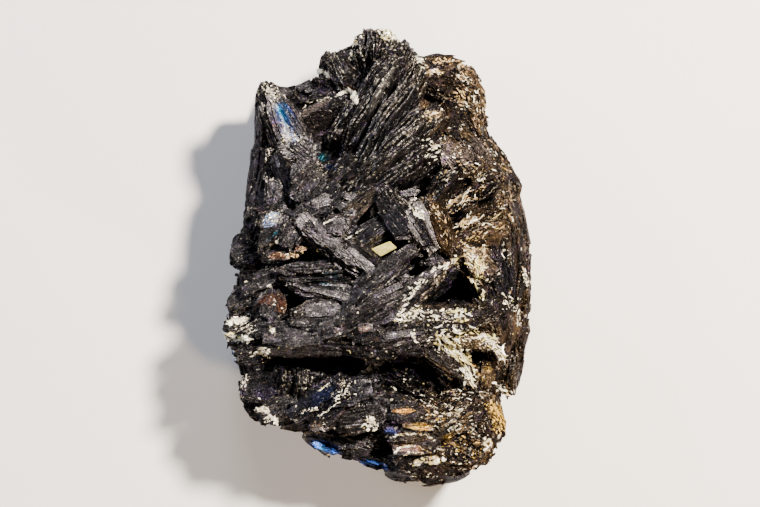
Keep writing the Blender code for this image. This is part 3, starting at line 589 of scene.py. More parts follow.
def fromMiddle(pixels, across, down, halfWide, halfHigh, turn):
    # 0 at a mark's middle and 1 at its edge
    angle = math.radians(turn)
    right, up = pixels[:, 0] - across, down - pixels[:, 1]
    along = (right * math.cos(angle) + up * math.sin(angle)) / halfWide
    over = (-right * math.sin(angle) + up * math.cos(angle)) / halfHigh
    return np.hypot(along, over)


def placeWeight(pixels, row):
    # full at the mark's middle and gone half its size past its edge
    reach = np.clip(1.5 - fromMiddle(pixels, *row[:5]), 0, 1)
    return reach * reach * (3 - 2 * reach)


def spread(table, spots):
    # how much of a table of places holds at each spot
    amount = np.zeros(len(spots))
    for row in table:
        amount = np.maximum(amount, placeWeight(spots, row) * row[5])
    return amount


# plates that stay whole and smooth: across, down, half width, half height, turn, amount
smooth = [
    (291, 112, 16, 26, -62, 1.0),
    (332, 122, 30, 24, 0, 1.0),
    (324, 310, 26, 12, 5, 0.9),
    (398, 215, 20, 26, 0, 0.9),
    (318, 228, 14, 12, 0, 0.7),
    (338, 226, 14, 12, 0, 0.7),
    (382, 250, 20, 12, 17, 1.0),
    (272, 222, 12, 10, 0, 0.8),
    (365, 328, 14, 10, 0, 0.8),
    (322, 394, 18, 10, 35, 0.8),
    (404, 412, 18, 6, 0, 0.8),
    (420, 430, 18, 7, 0, 0.8),
    (410, 448, 24, 9, 0, 0.6),
    (325, 449, 18, 10, 0, 0.9),
]

# where small leaves cover the blades: across, down, half width, half height, turn, amount
leafy = [
    (458, 92, 42, 46, 0, 1.0),
    (490, 200, 26, 60, -12, 0.45),
    (452, 425, 62, 52, 0, 0.9),
    (392, 60, 26, 36, 0, 0.45),
    (262, 300, 34, 60, 0, 0.45),
    (262, 235, 28, 34, 0, 0.7),
    (260, 385, 26, 40, 0, 0.6),
    (272, 92, 16, 14, 0, 0.7),
    (332, 60, 16, 16, 0, 0.8),
    (455, 320, 50, 20, 0, 0.5),
    (440, 478, 55, 10, 10, 0.9),
    (505, 210, 18, 60, 0, 0.6),
    (465, 360, 34, 24, -30, 0.6),
    (505, 290, 20, 60, 0, 0.5),
]

# deep dark hollows between the blades: across, down, half width, half height, turn, depth in mm
hollows = [
    (456, 290, 22, 16, 0, 8.0),
    (434, 294, 15, 11, 40, 9.0),
    (439, 284, 13, 8, 45, 9.0),
    (450, 275, 9, 6, 30, 7.0),
    (412, 262, 10, 5, 20, 5.0),
    (455, 221, 6, 7, 0, 4.5),
    (487, 202, 8, 3.5, 20, 4.5),
    (466, 184, 4, 4, 0, 4.0),
    (475, 357, 4.5, 8, 0, 4.0),
    (297, 97, 11, 4.5, -10, 4.0),
    (333, 150, 9, 8, 0, 4.0),
    (408, 374, 26, 15, -10, 3.5),
    (318, 276, 7, 2, 0, 2.5),
    (316, 284, 9, 2, 0, 2.5),
]


carving = {
    "edge": 1.12, "wall": 0.2,  # where the walls begin, and how wide they are, against the hollow's own size
    "raggedScale": 0.35, "ragged": 0.22,
    "floor": 0.02,  # metres above the table; nothing is lowered past it
}


def carveHollows(mesh):
    # what the photograph shows deep in the dark is lowered there, with steep walls round it
    places = placesOf(mesh)
    spots = seenAt(places)
    flat = np.column_stack([spots * carving["raggedScale"], np.full(len(spots), 4.0)])
    ragged = noiseAt(flat) * carving["ragged"]
    sunk = np.zeros(len(places))
    for row in hollows:
        share = np.clip((carving["edge"] - fromMiddle(spots, *row[:5]) + ragged) / carving["wall"], 0, 1)
        sunk = np.maximum(sunk, share * row[5] * 0.001)
    floor, high = carving["floor"], places[:, 2]
    places[:, 2] = np.where(high > floor, np.maximum(high - sunk, floor), high)
    mesh.vertices.foreach_set("co", places.ravel())
    mesh.update()


painting = {
    "upperFrom": 0.0195, "upperFade": 0.005,  # metres above the table
    "raggedScale": 180, "ragged": 0.006,
    "warmFrom": 390, "warmFade": 100,  # pixels; the right side is browner
    "plain": 0.05,  # how much cream shows where the photograph doesn't reach
    "sharedPast": 9,  # pixels; wider marks go partly plate by plate
}


def blend(colours, name, share):
    return colours * (1 - share[:, None]) + np.array(linear(finishes[name])) * share[:, None]


def paintFinish(mesh, evenness=0.5):
    # colour by place, taken partly at each lamina's own middle, so that it changes from plate to plate
    places, chance = placesOf(mesh), readLayer(mesh, "plateChance")
    own = seenAt(places)
    shared = own + (seenAt(readLayer(mesh, "plateMiddle")) - own) * evenness
    # what the photograph shows holds for the upper faces; lower down the sides it fades out
    ragged = noiseAt(places * painting["raggedScale"]) * painting["ragged"]
    upper = np.clip((places[:, 2] - painting["upperFrom"] + ragged) / painting["upperFade"], 0, 1)
    warm = np.clip((shared[:, 0] - painting["warmFrom"]) / painting["warmFade"] + (chance - 0.5) * 0.5, 0, 1)
    coarse = spread(leafy, shared) * (1 - spread(smooth, own))
    dark = np.clip((chance * 7.3) % 1.0 * 1.1 - 0.2, 0, 0.8)  # most plates are darker, each by its own amount
    tan = ((chance * 5.1) % 1.0 > 0.6) * coarse * warm * 0.85  # four leaves in ten, where it is leafy and brown
    tint = np.tile(np.array(linear(finishes["greyPlate"])), (len(places), 1))
    for name, share in (("brownPlate", warm), ("darkPlateAndShade", dark), ("tan", tan)):
        tint = blend(tint, name, share)
    placed, strength = tint.copy(), np.zeros(len(places))
    for row in finishPlaces:
        # black marks are painted shade: they use each spot's own place and reach down the sides as well
        name, isPaintedShade = row[5], row[5] == "paintedShadeBlack"
        wide = min(row[2], row[3]) > painting["sharedPast"] and not isPaintedShade
        weight = placeWeight(shared if wide else own, row) * row[6] * (1 if isPaintedShade else upper)
        placed = blend(placed, name, weight / np.maximum(strength * 0.5 + weight, 1e-6))
        strength = np.maximum(strength, weight)
    for name, colours in (("tint", tint), ("placeTint", placed)):
        writeLayer(mesh, name, "FLOAT_COLOR", np.column_stack([colours, np.ones(len(places))]))
    cream = spread(flecks, own) * upper + painting["plain"] * (1 - upper)
    for name, values in (("fleckAmount", cream), ("colourAmount", strength), ("coarse", coarse)):
        writeLayer(mesh, name, "FLOAT", values)


# what the pyrite's faces look like from place to place: across, down, half width, half height, turn, finish, share
pyriteTones = [
    (378, 257, 170, 240, 0, "yellow", 0.08),
    (470, 342, 40, 28, 0, "yellow", 0.42),
    (478, 268, 22, 28, 0, "yellow", 0.6),
    (386, 36, 30, 14, 0, "yellow", 0.3),
    (460, 92, 44, 48, 0, "honey", 0.66),
    (485, 200, 44, 74, 0, "honey", 0.55),
    (450, 430, 62, 42, 0, "honey", 0.3),
    (505, 200, 24, 70, 0, "tan", 0.3),
    (455, 95, 40, 44, 0, "bronze", 0.2),
    (500, 200, 30, 70, 0, "bronze", 0.25),
    (450, 425, 60, 40, 0, "bronze", 0.2),
    (497, 416, 13, 24, 0, "gold", 0.75),
    (456, 446, 26, 14, 0, "gold", 0.45),
    (412, 418, 26, 12, 0, "gold", 0.6),
    (486, 370, 12, 14, 0, "gold", 0.5),
    (502, 180, 18, 40, 0, "gold", 0.15),
]


def toneOfPyrite(places, dice):
    # each grain's own colour; most are pale cream
    spots = seenAt(places)
    tones = np.tile(np.array(linear(finishes["paleCream"])), (len(places), 1))
    for row in pyriteTones:
        chosen = dice.random(len(places)) < placeWeight(spots, row) * row[6]
        tones[chosen] = np.array(linear(finishes[row[5]]))
    return tones


def tableSpots(places):
    # places in the frame, brought back to the table in mm
    frameToTable = tableToFrame.inverted()
    turned = np.array([row[:3] for row in frameToTable.to_3x3()])
    return places @ turned.T + np.array(frameToTable.translation)


# every crystal is a book of thin cleavage plates
books = {
    "lamina": 0.44,  # mm, about two pixels where it is seen edge-on
    "thicknessSpread": 0.3,
    "gap": 0.05,
    "ragged": 0.035,  # of the way out to the rim
    "wander": 2.2,  # how much further the rim wanders than it is ragged
    "chipChance": 0.10, "chipDepth": 0.16,
    "slide": (0.05, 0.07),  # of half length and half width
    "spinDegrees": 1.6,
    "pointsPerSide": 4,
    "breakChance": 0.38, "breakAt": (0.35, 0.9),
    "jagged": (1.3, 0.25),  # bends per mm and size in mm, along a broken end
    "waves": (0.16, 0.22, 0.5, 0.7, 0.06),  # a book's waves and a lamina's ripples per mm, and the ripples' height
    "taper": 0.10,  # how much narrower the upper laminae are
    "outerSize": (0.93, 1.0), "innerSize": (0.97, 1.03),
    "rimInsets": (0.10, 0.28),
    "proud": 0.12,  # mm that the outer laminae stand above the solid's crystal
    "mayPass": 1.5,  # pixels that a book may reach past the photographed edge
}
groupShape = {  # splay in degrees, bow and sweep in mm at the ends, waviness in mm
    "spikeAndLeftWall": (2, 0.2, 0.0, 0.18),
    "topRecess": (4, 0.4, 0.0, 0.2),
    "topFan": (7, -0.3, 0.25, 0.22),
    "topRightLobe": (5, -1.0, 0.2, 0.45),
    "rosette": (8, -0.9, 0.7, 0.4),
    "column": (3, -0.5, 0.2, 0.22),
    "centrePlates": (3, 0.1, 0.0, 0.18),
    "lowerLaths": (4, -0.2, 0.15, 0.2),
    "lowerLeft": (7, -0.5, 0.3, 0.35),
    "bottomLobe": (5, -1.1, 0.2, 0.5),
    "rightBackLayer": (4, -0.6, 0.0, 0.35),
    "backPlates": (2, 0.0, 0.0, 0.2),
    "walls": (1, -0.4, 0.1, 0.3),
    "facePlates": (1, -0.12, 0.0, 0.10),
}


def roundOutline(lower, pointsPerSide):
    # the crystal's corners with points between them, starting where a cone's own ring starts
    points = []
    for a, b in zip(lower, lower[1:] + lower[:1]):
        points += [a.lerp(b, step / pointsPerSide) for step in range(pointsPerSide)]
    first = min(range(len(points)), key=lambda i: abs(math.atan2(points[i].y, points[i].x)))
    return points[first:] + points[:first]


def lamina(edge, level, thickness, shrink, slide, insets, form, dice):
    # one cleavage plate: a flat prism whose rings follow the crystal's outline, chipped and ragged at the rim
    halfLength, halfWidth = form["row"][6:8]
    plate = bmesh.new()
    count = len(edge)
    bmesh.ops.create_cone(plate, cap_ends=True, segments=count, radius1=1.0, radius2=1.0, depth=1.0)
    caps = [face for face in plate.faces if len(face.verts) > 4]
    for inset in insets:
        bmesh.ops.inset_region(plate, faces=caps, thickness=inset, use_even_offset=True)
    rag, seed = [], dice.uniform(0, 99)
    for i in range(count):
        wander = noise.noise((math.cos(i / count * math.tau) * 3, math.sin(i / count * math.tau) * 3, seed))
        chip = dice.uniform(0.4, 1.0) * books["chipDepth"] if dice.random() < books["chipChance"] else 0
        rag.append(1 + wander * books["ragged"] * books["wander"] + dice.gauss(0, books["ragged"] * 0.5) - chip)
    anyWay = dice.random() < 0.5
    breakAngle = dice.uniform(0, math.tau) if anyWay else dice.choice((0, math.pi)) + dice.uniform(-0.5, 0.5)
    breakWay = Vector((math.cos(breakAngle), math.sin(breakAngle)))
    reach = abs(breakWay.x) * halfLength + abs(breakWay.y) * halfWidth
    broken = dice.random() < books["breakChance"] * (len(insets) > 0)
    breakAt = reach * (dice.uniform(*books["breakAt"]) if broken else 9)
    spin = Matrix.Rotation(math.radians(dice.gauss(0, books["spinDegrees"])), 2)
    bow, sweep, wave = groupShape[form["group"]][1:]
    waveX, waveY, rippleX, rippleY, ripple = books["waves"]
    jag, jagSize = books["jagged"]
    waveSeed = form["seed"]
    rimLayer = plate.verts.layers.float.new("rim")
    spaceLayer = plate.verts.layers.float_vector.new("bladeSpace")
    chance = dice.random()
    for corner in plate.verts:
        rho = corner.co.xy.length
        index = round(math.atan2(corner.co.y, corner.co.x) / math.tau * count) % count
        flat = edge[index] * shrink * rho
        flat *= rag[index] if rho > 0.99 else 1 + (rag[index] - 1) * 0.5
        over = flat.dot(breakWay) - breakAt
        if over > 0:
            flat -= breakWay * over * 0.97
            flat += Vector((-breakWay.y, breakWay.x)) * noise.noise((flat.x * jag, flat.y * jag, seed)) * jagSize
        flat = spin @ flat + slide
        upper = 0.5 if corner.co.z > 0 else -0.5
        along = flat.x / halfLength
        warp = bow * along * along
        warp += wave * noise.noise((flat.x * waveX, flat.y * waveY, waveSeed)) * 2
        warp += ripple * noise.noise((flat.x * rippleX, flat.y * rippleY, seed))
        corner[rimLayer] = 1.0 if rho > 0.99 else 0.0
        corner[spaceLayer] = (flat.x, flat.y, level + upper * thickness + waveSeed * 5)
        corner.co = (flat.x, flat.y + sweep * along * along, level + upper * thickness + warp)
    return plate, chance


def bookOfLaminae(form, dice):
    row = form["row"]
    thickness = row[8] + books["proud"] * 2
    splay = groupShape[form["group"]][0]
    form["seed"] = dice.uniform(0, 99)
    edge = roundOutline(form["lower"], books["pointsPerSide"])
    count = max(3, round(thickness / books["lamina"]))
    upperSide = 1 if (form["place"].to_3x3() @ Vector((0, 1, 0))).z > 0 else -1
    level = -thickness / 2
    widths = [1 + dice.uniform(-1, 1) * books["thicknessSpread"] for i in range(count)]
    unit = thickness / sum(widths)
    pieces = []
    for i, width in enumerate(widths):
        own = width * unit
        share = (i + 0.5) / count
        outermost = i in (0, count - 1)
        nearOuter = i in (1, count - 2)
        insets = books["rimInsets"] if outermost or nearOuter else ()
        size = dice.uniform(*books["outerSize"] if outermost else books["innerSize"])
        shrink = (1.0 - books["taper"] * share) * size
        slide = Vector((dice.gauss(0, books["slide"][0]) * row[6], dice.gauss(0, books["slide"][1]) * row[7]))
        plate, chance = lamina(edge, level + own / 2, own - books["gap"], shrink, slide, insets, form, dice)
        hinge = Vector((0, -upperSide * row[7], 0))
        fan = Matrix.Translation(hinge) @ Matrix.Rotation(math.radians(upperSide * splay * (share - 0.5)), 4, "X")
        middle = tableToFrame @ form["place"] @ Vector((slide.x, slide.y, level))
        middleLayer = plate.verts.layers.float_vector.new("plateMiddle")
        chanceLayer = plate.verts.layers.float.new("plateChance")
        for corner in plate.verts:
            corner[middleLayer] = middle
            corner[chanceLayer] = chance
        whole = tableToFrame @ form["place"] @ fan @ Matrix.Translation(-hinge)
        bmesh.ops.transform(plate, matrix=whole, verts=plate.verts)
        pieces.append(plate)
        level += own
    pullInside(pieces)
    return pieces


def pullInside(plates):
    # a book that reaches past the photographed edge is drawn back to it as a whole
    for attempt in range(3):
        places = np.array([corner.co[:] for plate in plates for corner in plate.verts])
        past, back = pastEdge(seenAt(places))
        worst = past.argmax()
        if past[worst] < books["mayPass"]:
            return
        way = back[worst] * (1 - books["mayPass"] * 0.5 / past[worst])
        way *= (view["height"] - places[worst, 2]) * pixelAtOneMetre
        for plate in plates:
            bmesh.ops.translate(plate, vec=(way[0], -way[1], 0), verts=plate.verts)


def gather(name, plates):
    # joins the loose plates of one stretch into one mesh
    joined = bmesh.new()
    for layer in ("rim", "plateChance"):
        joined.verts.layers.float.new(layer)
    for layer in ("bladeSpace", "plateMiddle"):
        joined.verts.layers.float_vector.new(layer)
    single = bpy.data.meshes.new("single")
    for plate in plates:
        plate.to_mesh(single)
        joined.from_mesh(single)
        plate.free()
    bpy.data.meshes.remove(single)
    mesh = bpy.data.meshes.new(name)
    joined.to_mesh(mesh)
    joined.free()
    carveHollows(mesh)
    mesh.shade_smooth()
    mesh.set_sharp_from_angle(angle=math.radians(32))
    return addObject(name, mesh)


bookPieces = {
    "upperBlades": ("spikeAndLeftWall", "topRecess", "topFan", "topRightLobe"),
    "rosetteBlades": ("rosette", "column", "rightBackLayer"),
    "middleBlades": ("centrePlates", "lowerLaths"),
    "lowerBlades": ("lowerLeft", "bottomLobe"),
    "wallBlades": ("backPlates", "walls"),
}


def makeBooks():
    dice = random.Random(specimen["seed"] + 1)
    made = []
    for name, groups in bookPieces.items():
        plates = []
        for form in forms:
            if form["group"] in groups:
                plates += bookOfLaminae(form, dice)
        piece = gather(name, plates)
        paintFinish(piece.data)
        made.append(piece)
        print(name, "laminae", len(plates), "triangles", triangleCount(piece.data))
    return made


blades = makeBooks()


# single plates that show a whole face: across and down in the photograph, half length and half width in pixels,
# strike, lean, plunge, thickness in mm
facePlates = [
    (287, 112, 34, 10, -56, -8, 0, 1.2),
    (301, 152, 18, 11, -35, -2, 0, 1.0),
    (329, 124, 27, 23, 12, -12, 4, 0.9),
    (324, 86, 17, 9, -12, -20, 0, 0.8),
    (317, 229, 12, 10, -42, 14, 0, 0.9),
    (338, 226, 13, 11, 18, 10, 0, 0.9),
    (301, 214, 12, 9, 26, 14, 0, 0.9),
    (322, 201, 15, 9, 20, 12, -8, 0.8),
    (308, 186, 14, 10, 50, 14, 0, 0.8),
    (345, 208, 13, 7, -20, 12, 0, 0.8),
    (360, 258, 20, 5, -38, 24, 0, 0.8),
    (312, 229, 11, 6, -64, -4, 0, 0.7),
    (331, 243, 13, 6, -22, 8, 0, 0.6),
    (351, 258, 13, 5, -56, -6, 0, 0.6),
    (322, 310, 24, 10, 6, 10, 0, 0.9),
    (333, 294, 32, 4.5, -11, 14, 0, 0.8),
    (365, 328, 11, 7, 4, 8, 0, 0.7),
    (396, 222, 24, 12, -49, 0, 18, 1.0),
    (440, 230, 29, 9, -66, -15, 0, 1.5),
    (421, 228, 27, 8, -66, -10, 0, 0.9),
    (410, 193, 11, 5, 10, 10, 0, 0.8),
    (441, 59, 24, 4.5, -2, 22, 0, 1.0),
    (433, 115, 9, 7, 30, 15, 0, 0.8),
    (424, 105, 6, 5, 80, 10, 0, 0.9),
    (273, 220, 11, 8, 30, 15, 0, 0.9),
    (264, 196, 12, 8, 62, 16, 0, 0.8),
    (277, 256, 14, 6, 10, 15, 0, 0.9),
    (300, 249, 10, 4, 8, 10, 0, 0.7),
    (298, 170, 12, 8, 62, 10, 0, 0.8),
    (404, 411, 17, 5, 2, 22, 0, 0.7),
    (418, 426, 19, 6, -6, 20, 0, 0.7),
    (410, 438, 26, 4, 2, 26, 0, 0.7),
    (408, 450, 22, 8, 0, 18, 0, 0.9),
    (393, 429, 13, 6, -8, 14, 0, 0.6),
    (388, 442, 13, 8, 14, 10, 0, 0.9),
    (284, 222, 8, 6, 50, 12, 0, 0.7),
    (318, 444, 10, 6, -34, 14, 0, 0.8),
    (330, 450, 11, 5, -10, 20, 0, 0.8),
    (373, 465, 12, 4, -12, 12, 0, 0.7),
    (322, 395, 15, 8, 38, 15, 0, 0.8),
    (352, 443, 20, 7, 15, 15, 0, 0.9),
    (320, 427, 11, 5, 10, 12, 0, 0.8),
    (489, 444, 6, 5, 0, 12, 0, 0.6),
    (402, 334, 30, 6, 8, 12, 0, 0.9),
    (310, 341, 24, 6, 10, 10, 0, 0.9),
    (337, 262, 12, 5, -38, 6, 0, 0.6),
    (384, 292, 26, 4.5, 25, 8, 0, 0.6),
    (300, 323, 15, 6, -6, 4, 0, 0.6),
    (270, 322, 13, 6, 10, 6, 0, 0.6),
    (285, 335, 15, 5, -4, 8, 0, 0.6),
    (332, 331, 15, 5, 8, 4, 0, 0.6),
    (262, 275, 12, 6, 24, 10, 0, 0.7),
    (286, 271, 11, 5, -10, 10, 0, 0.6),
    (254, 300, 10, 6, 40, 10, 0, 0.7),
    (347, 311, 11, 6, 30, 8, 0, 0.6),
    (390, 319, 12, 5, 20, 8, 0, 0.6),
    (300, 193, 11, 6, 36, 6, 0, 0.6),
    (330, 186, 11, 7, 28, 6, 0, 0.7),
    (352, 197, 10, 6, -10, 6, 0, 0.6),
]


def treeOf(objects):
    # what a ray can meet: the triangles of all these pieces
    places, faces, start = [], [], 0
    for piece in objects:
        mesh = piece.data
        mesh.calc_loop_triangles()
        places += [corner.co.copy() for corner in mesh.vertices]
        faces += [[corner + start for corner in triangle.vertices] for triangle in mesh.loop_triangles]
        start = len(places)
    return BVHTree.FromPolygons(places, faces)


lowering = {
    "level": 0.0375,  # metres above the table, where a plate is before it is lowered
    "feelers": ((0, 0), (0.6, 0), (-0.6, 0), (0, 0.6), (0, -0.6), (0.5, 0.5), (-0.5, -0.5)),
    "rest": 0.7,  # the share of its feelers that a plate rests above
    "sink": 0.2,  # of its thickness
}


def makeFacePlates():
    # each is lowered along the camera's own line until most of it touches the blades
    dice = random.Random(specimen["seed"] + 6)
    tree = treeOf(blades)
    frameToTable = tableToFrame.inverted()
    plates = []
    for across, down, halfLong, halfWide, strike, lean, plunge, thickness in facePlates:
        turn = crystalPlace(0, 0, 0, strike, lean, plunge).to_3x3()
        facing = turn @ Vector((0, 0, 1))
        level, heights = lowering["level"], []
        pixel = (view["height"] - level) * pixelAtOneMetre
        for share, side in lowering["feelers"]:
            apart = turn @ Vector((share * halfLong, side * halfWide, 0))
            hit = tree.ray_cast(eye, cameraRay(across + apart.x, down - apart.y).normalized())[0]
            if hit:
                heights.append(hit.z - apart.z * pixel)
        heights.sort()
        level = heights[int(len(heights) * lowering["rest"])]
        middle = frameToTable @ (eye + cameraRay(across, down) * (view["height"] - level))
        pixel = (view["height"] - level) * pixelAtOneMetre * 1000
        middle -= facing * thickness * lowering["sink"]
        row = (*middle, strike, lean, plunge, halfLong * pixel, halfWide * pixel, thickness)
        form = dict(crystalForm(row, dice, dice.choice((4, 5, 5, 6))), group="facePlates")
        plates += bookOfLaminae(form, dice)
    made = gather("facePlates", plates)
    paintFinish(made.data, 0.0)
    print("face plates, laminae", len(plates), "triangles", triangleCount(made.data))
    return made


plainBlades = list(blades)
blades.append(makeFacePlates())


# the fine granular mass between the blades stands for the solid's own skin
ground = {
    "voxel": 0.00064,
    "drawnIn": 0.45,  # mm that it lies below the blades' faces
    "flatBelow": 0.0004,  # metres above the table; the resting face stays flat
    "lumps": (0.55, 2.6),  # mm high, mm across
    "grains": (0.30, 0.8),
    "chanceScale": 400,  # patches of 2.5 mm
    "mayPass": 0.5,  # pixels past the photographed edge
    "batches": 60,  # the distances to the edge are worked out in so many parts
}


def makeGround():
    source = massNode.data.copy()
    made = addObject("granularMass", source)
    shape = bmesh.new()
    shape.from_mesh(source)
    bmesh.ops.remove_doubles(shape, verts=shape.verts, dist=1e-6)
    shape.to_mesh(source)
    shape.free()
    remesh = made.modifiers.new("evenSkin", "REMESH")
    remesh.mode = "VOXEL"
    remesh.voxel_size = ground["voxel"]
    evaluated = made.evaluated_get(bpy.context.evaluated_depsgraph_get())
    skin = bpy.data.meshes.new_from_object(evaluated)
    made.modifiers.clear()
    made.data = skin
    skin.name = "granularMass"
    places = placesOf(skin)
    normals = np.empty(places.size)
    skin.vertex_normals.foreach_get("vector", normals)
    lumpHigh, lumpAcross = ground["lumps"]
    grainHigh, grainAcross = ground["grains"]
    cells = np.array([noise.cell(Vector(place)) for place in (places * 1000 / grainAcross).tolist()])
    lift = noiseAt(places * 1000 / lumpAcross) * lumpHigh + (cells - 0.5) * grainHigh
    lift = np.minimum(lift - ground["drawnIn"], 0.0) * 0.001
    lift[places[:, 2] < ground["flatBelow"]] = 0
    places = places + normals.reshape(-1, 3) * lift[:, None]
    # what would show past the photographed edge is drawn back to it
    past, back = (np.concatenate(parts) for parts in zip(*[
        pastEdge(part) for part in np.array_split(seenAt(places), ground["batches"])]))
    pull = np.where(past > ground["mayPass"], 1.0, 0.0) * (view["height"] - places[:, 2]) * pixelAtOneMetre
    places[:, :2] += back * pull[:, None] * (1, -1)
    skin.vertices.foreach_set("co", places.ravel())
    skin.update()
    carveHollows(skin)
    writeLayer(skin, "plateMiddle", "FLOAT_VECTOR", places)
    writeLayer(skin, "bladeSpace", "FLOAT_VECTOR", places * 1000)
    writeLayer(skin, "plateChance", "FLOAT", noiseAt(places * ground["chanceScale"]) * 0.5 + 0.5)
    writeLayer(skin, "rim", "FLOAT", np.zeros(len(places)))
    paintFinish(skin, 0.0)
    print("granular mass, triangles", triangleCount(skin))
    return made


granularMass = makeGround()


# slivers, small leaves and grains of pyrite are each joined into one mesh from arrays
slivers = {
    "count": 5600, "keep": 0.75,
    "length": (2.0, 6.6), "width": (0.4, 1.2), "thickness": (0.18, 0.4), "shortest": 0.7,  # mm
    "tiltDegrees": (3, 3.5, 5), "coated": 0.0, "sides": 8,
    "within": 0.88,  # the share of its crystal's length that a sliver may reach
    "mayPass": 0.4,  # pixels past the photographed edge
}
leaves = {
    "onMass": 3000, "onBlades": 8000, "share": 0.85,
    "length": (0.7, 2.1), "width": (0.26, 0.85), "thickness": (0.12, 0.3), "shortest": 0.8,  # mm
    "tiltDegrees": (34, 34, 40), "coated": 0.09, "sides": 6,
    "uneven": (0.7, 1.1), "bow": 0.5, "curl": 0.1,  # against a half length of 1
}
grains = {
    "count": 5200, "size": (0.16, 0.6),  # mm
    "stretch": ((0.9, 0.45, 0.3), (2.6, 1.0, 0.7)),  # the least and the most, along each way
    "bar": (1.25, 0.55, 0.7), "bend": (0.5, 1.1), "uneven": (0.6, 1.15), "flat": 0.6,
    "upperFrom": 0.014, "upperFade": 0.01,  # metres above the table
}
openGround = {
    "tries": 90000,
    "clearOf": 0.0012, "aboveTable": 0.0012, "lifted": 0.00012,  # metres
}


def surfacePoints(objects, count, dice):
    # even random places on the pieces' faces, with the faces' own directions
    corners = []
    for piece in objects:
        mesh = piece.data
        mesh.calc_loop_triangles()
        index = np.empty(len(mesh.loop_triangles) * 3, dtype=np.int32)
        mesh.loop_triangles.foreach_get("vertices", index)
        corners.append(placesOf(mesh)[index].reshape(-1, 3, 3))
    corners = np.concatenate(corners)
    facing = np.cross(corners[:, 1] - corners[:, 0], corners[:, 2] - corners[:, 0])
    area = np.linalg.norm(facing, axis=1)
    chosen = dice.choice(len(area), count, p=area / area.sum())
    a, b = dice.random(count), dice.random(count)
    folded = a + b > 1
    a[folded], b[folded] = 1 - a[folded], 1 - b[folded]
    first, second, third = corners[chosen].transpose(1, 0, 2)
    places = first + (second - first) * a[:, None] + (third - first) * b[:, None]
    return places, facing[chosen] / np.maximum(area[chosen], 1e-12)[:, None]


def nearestCrystal(spots):
    # the crystal whose own stretched box is nearest gives a plate its direction and the room along its length
    middles = np.array([form["place"].translation for form in forms])
    axes = np.array([[list(row[:3]) for row in form["place"].to_3x3()] for form in forms])
    halves = np.array([form["row"][6:9] for form in forms])
    apart = spots[:, None, :] - middles[None]
    within = np.einsum("nfi,fij->nfj", apart, axes) / halves[None]
    nearest = np.argmin(np.linalg.norm(within, axis=2), axis=1)
    along = np.abs(within[np.arange(len(spots)), nearest, 0])
    return axes[nearest], (slivers["within"] - along) * halves[nearest, 0]


def shapeArrays(shape):
    bmesh.ops.triangulate(shape, faces=shape.faces)
    places = np.array([corner.co[:] for corner in shape.verts])
    faces = np.array([[corner.index for corner in face.verts] for face in shape.faces])
    shape.free()
    return places, faces


def leafShapes(many, sides, seed):
    dice = random.Random(seed)
    made = []
    for i in range(many):
        leaf = bmesh.new()
        bmesh.ops.create_cone(leaf, cap_ends=True, segments=sides, radius1=1.0, radius2=0.9, depth=1.0)
        for corner in leaf.verts:
            corner.co.xy *= dice.uniform(*leaves["uneven"])
            corner.co.z += leaves["bow"] * corner.co.x ** 2 + dice.uniform(-leaves["curl"], leaves["curl"])
        made.append(shapeArrays(leaf))
    return made


def grainShapes(many, seed):
    # angular grains, and short bent bars where the pyrite follows a leaf's edge
    dice = random.Random(seed)
    made = []
    for i in range(many):
        grain = bmesh.new()
        if i % 2:
            bmesh.ops.create_icosphere(grain, subdivisions=1, radius=1.0)
        else:
            bmesh.ops.create_cube(grain, size=1.7)
            lengthwise = [edge for edge in grain.edges if abs(edge.verts[0].co.x - edge.verts[1].co.x) > 0.5]
            bmesh.ops.subdivide_edges(grain, edges=lengthwise, cuts=1)
            bmesh.ops.scale(grain, vec=grains["bar"], verts=grain.verts)
        bend = dice.uniform(*grains["bend"]) * dice.choice((-1, 1)) * (0.6 if i % 2 else 1.0)
        for corner in grain.verts:
            corner.co *= dice.uniform(*grains["uneven"])
            corner.co.y += bend * (corner.co.x ** 2 - 0.4)
            corner.co.z = max(-grains["flat"], min(grains["flat"], corner.co.z))
        made.append(shapeArrays(grain))
    return made


def strew(name, shapes, places, turns, sizes, dice, tones=None):
    # one mesh of many small shapes, each with its own place, turn and size
    choice = dice.integers(0, len(shapes), len(places))
    corners, faces, start = [], [], 0
    inner, middles, chances, tints = [], [], [], []
    for kind, (points, sides) in enumerate(shapes):
        mine = np.nonzero(choice == kind)[0]
        scaled = points[None] * sizes[mine][:, None, :]
        turned = np.einsum("nij,nvj->nvi", turns[mine], scaled) + places[mine][:, None, :]
        corners.append(turned.reshape(-1, 3))
        inner.append((scaled * 1000 + mine[:, None, None] * 0.37).reshape(-1, 3))  # each has its own pattern
        middles.append(np.repeat(places[mine], len(points), axis=0))
        chances.append(np.repeat(dice.random(len(mine)), len(points)))
        if tones is not None:
            tints.append(np.repeat(np.column_stack([tones[mine], np.ones(len(mine))]), len(points), axis=0))
        faces.append((sides[None] + start + np.arange(len(mine))[:, None, None] * len(points)).reshape(-1, 3))
        start += len(mine) * len(points)
    mesh = bpy.data.meshes.new(name)
    mesh.from_pydata(np.concatenate(corners).tolist(), [], np.concatenate(faces).tolist())
    for layer, parts in (("plateMiddle", middles), ("bladeSpace", inner)):
        writeLayer(mesh, layer, "FLOAT_VECTOR", np.concatenate(parts))
    writeLayer(mesh, "plateChance", "FLOAT", np.concatenate(chances))
    writeLayer(mesh, "rim", "FLOAT", np.full(start, 0.35))
    if tones is not None:
        writeLayer(mesh, "tint", "FLOAT_COLOR", np.concatenate(tints))
    print(name, "pieces", len(places), "triangles", len(mesh.polygons))
    return addObject(name, mesh)


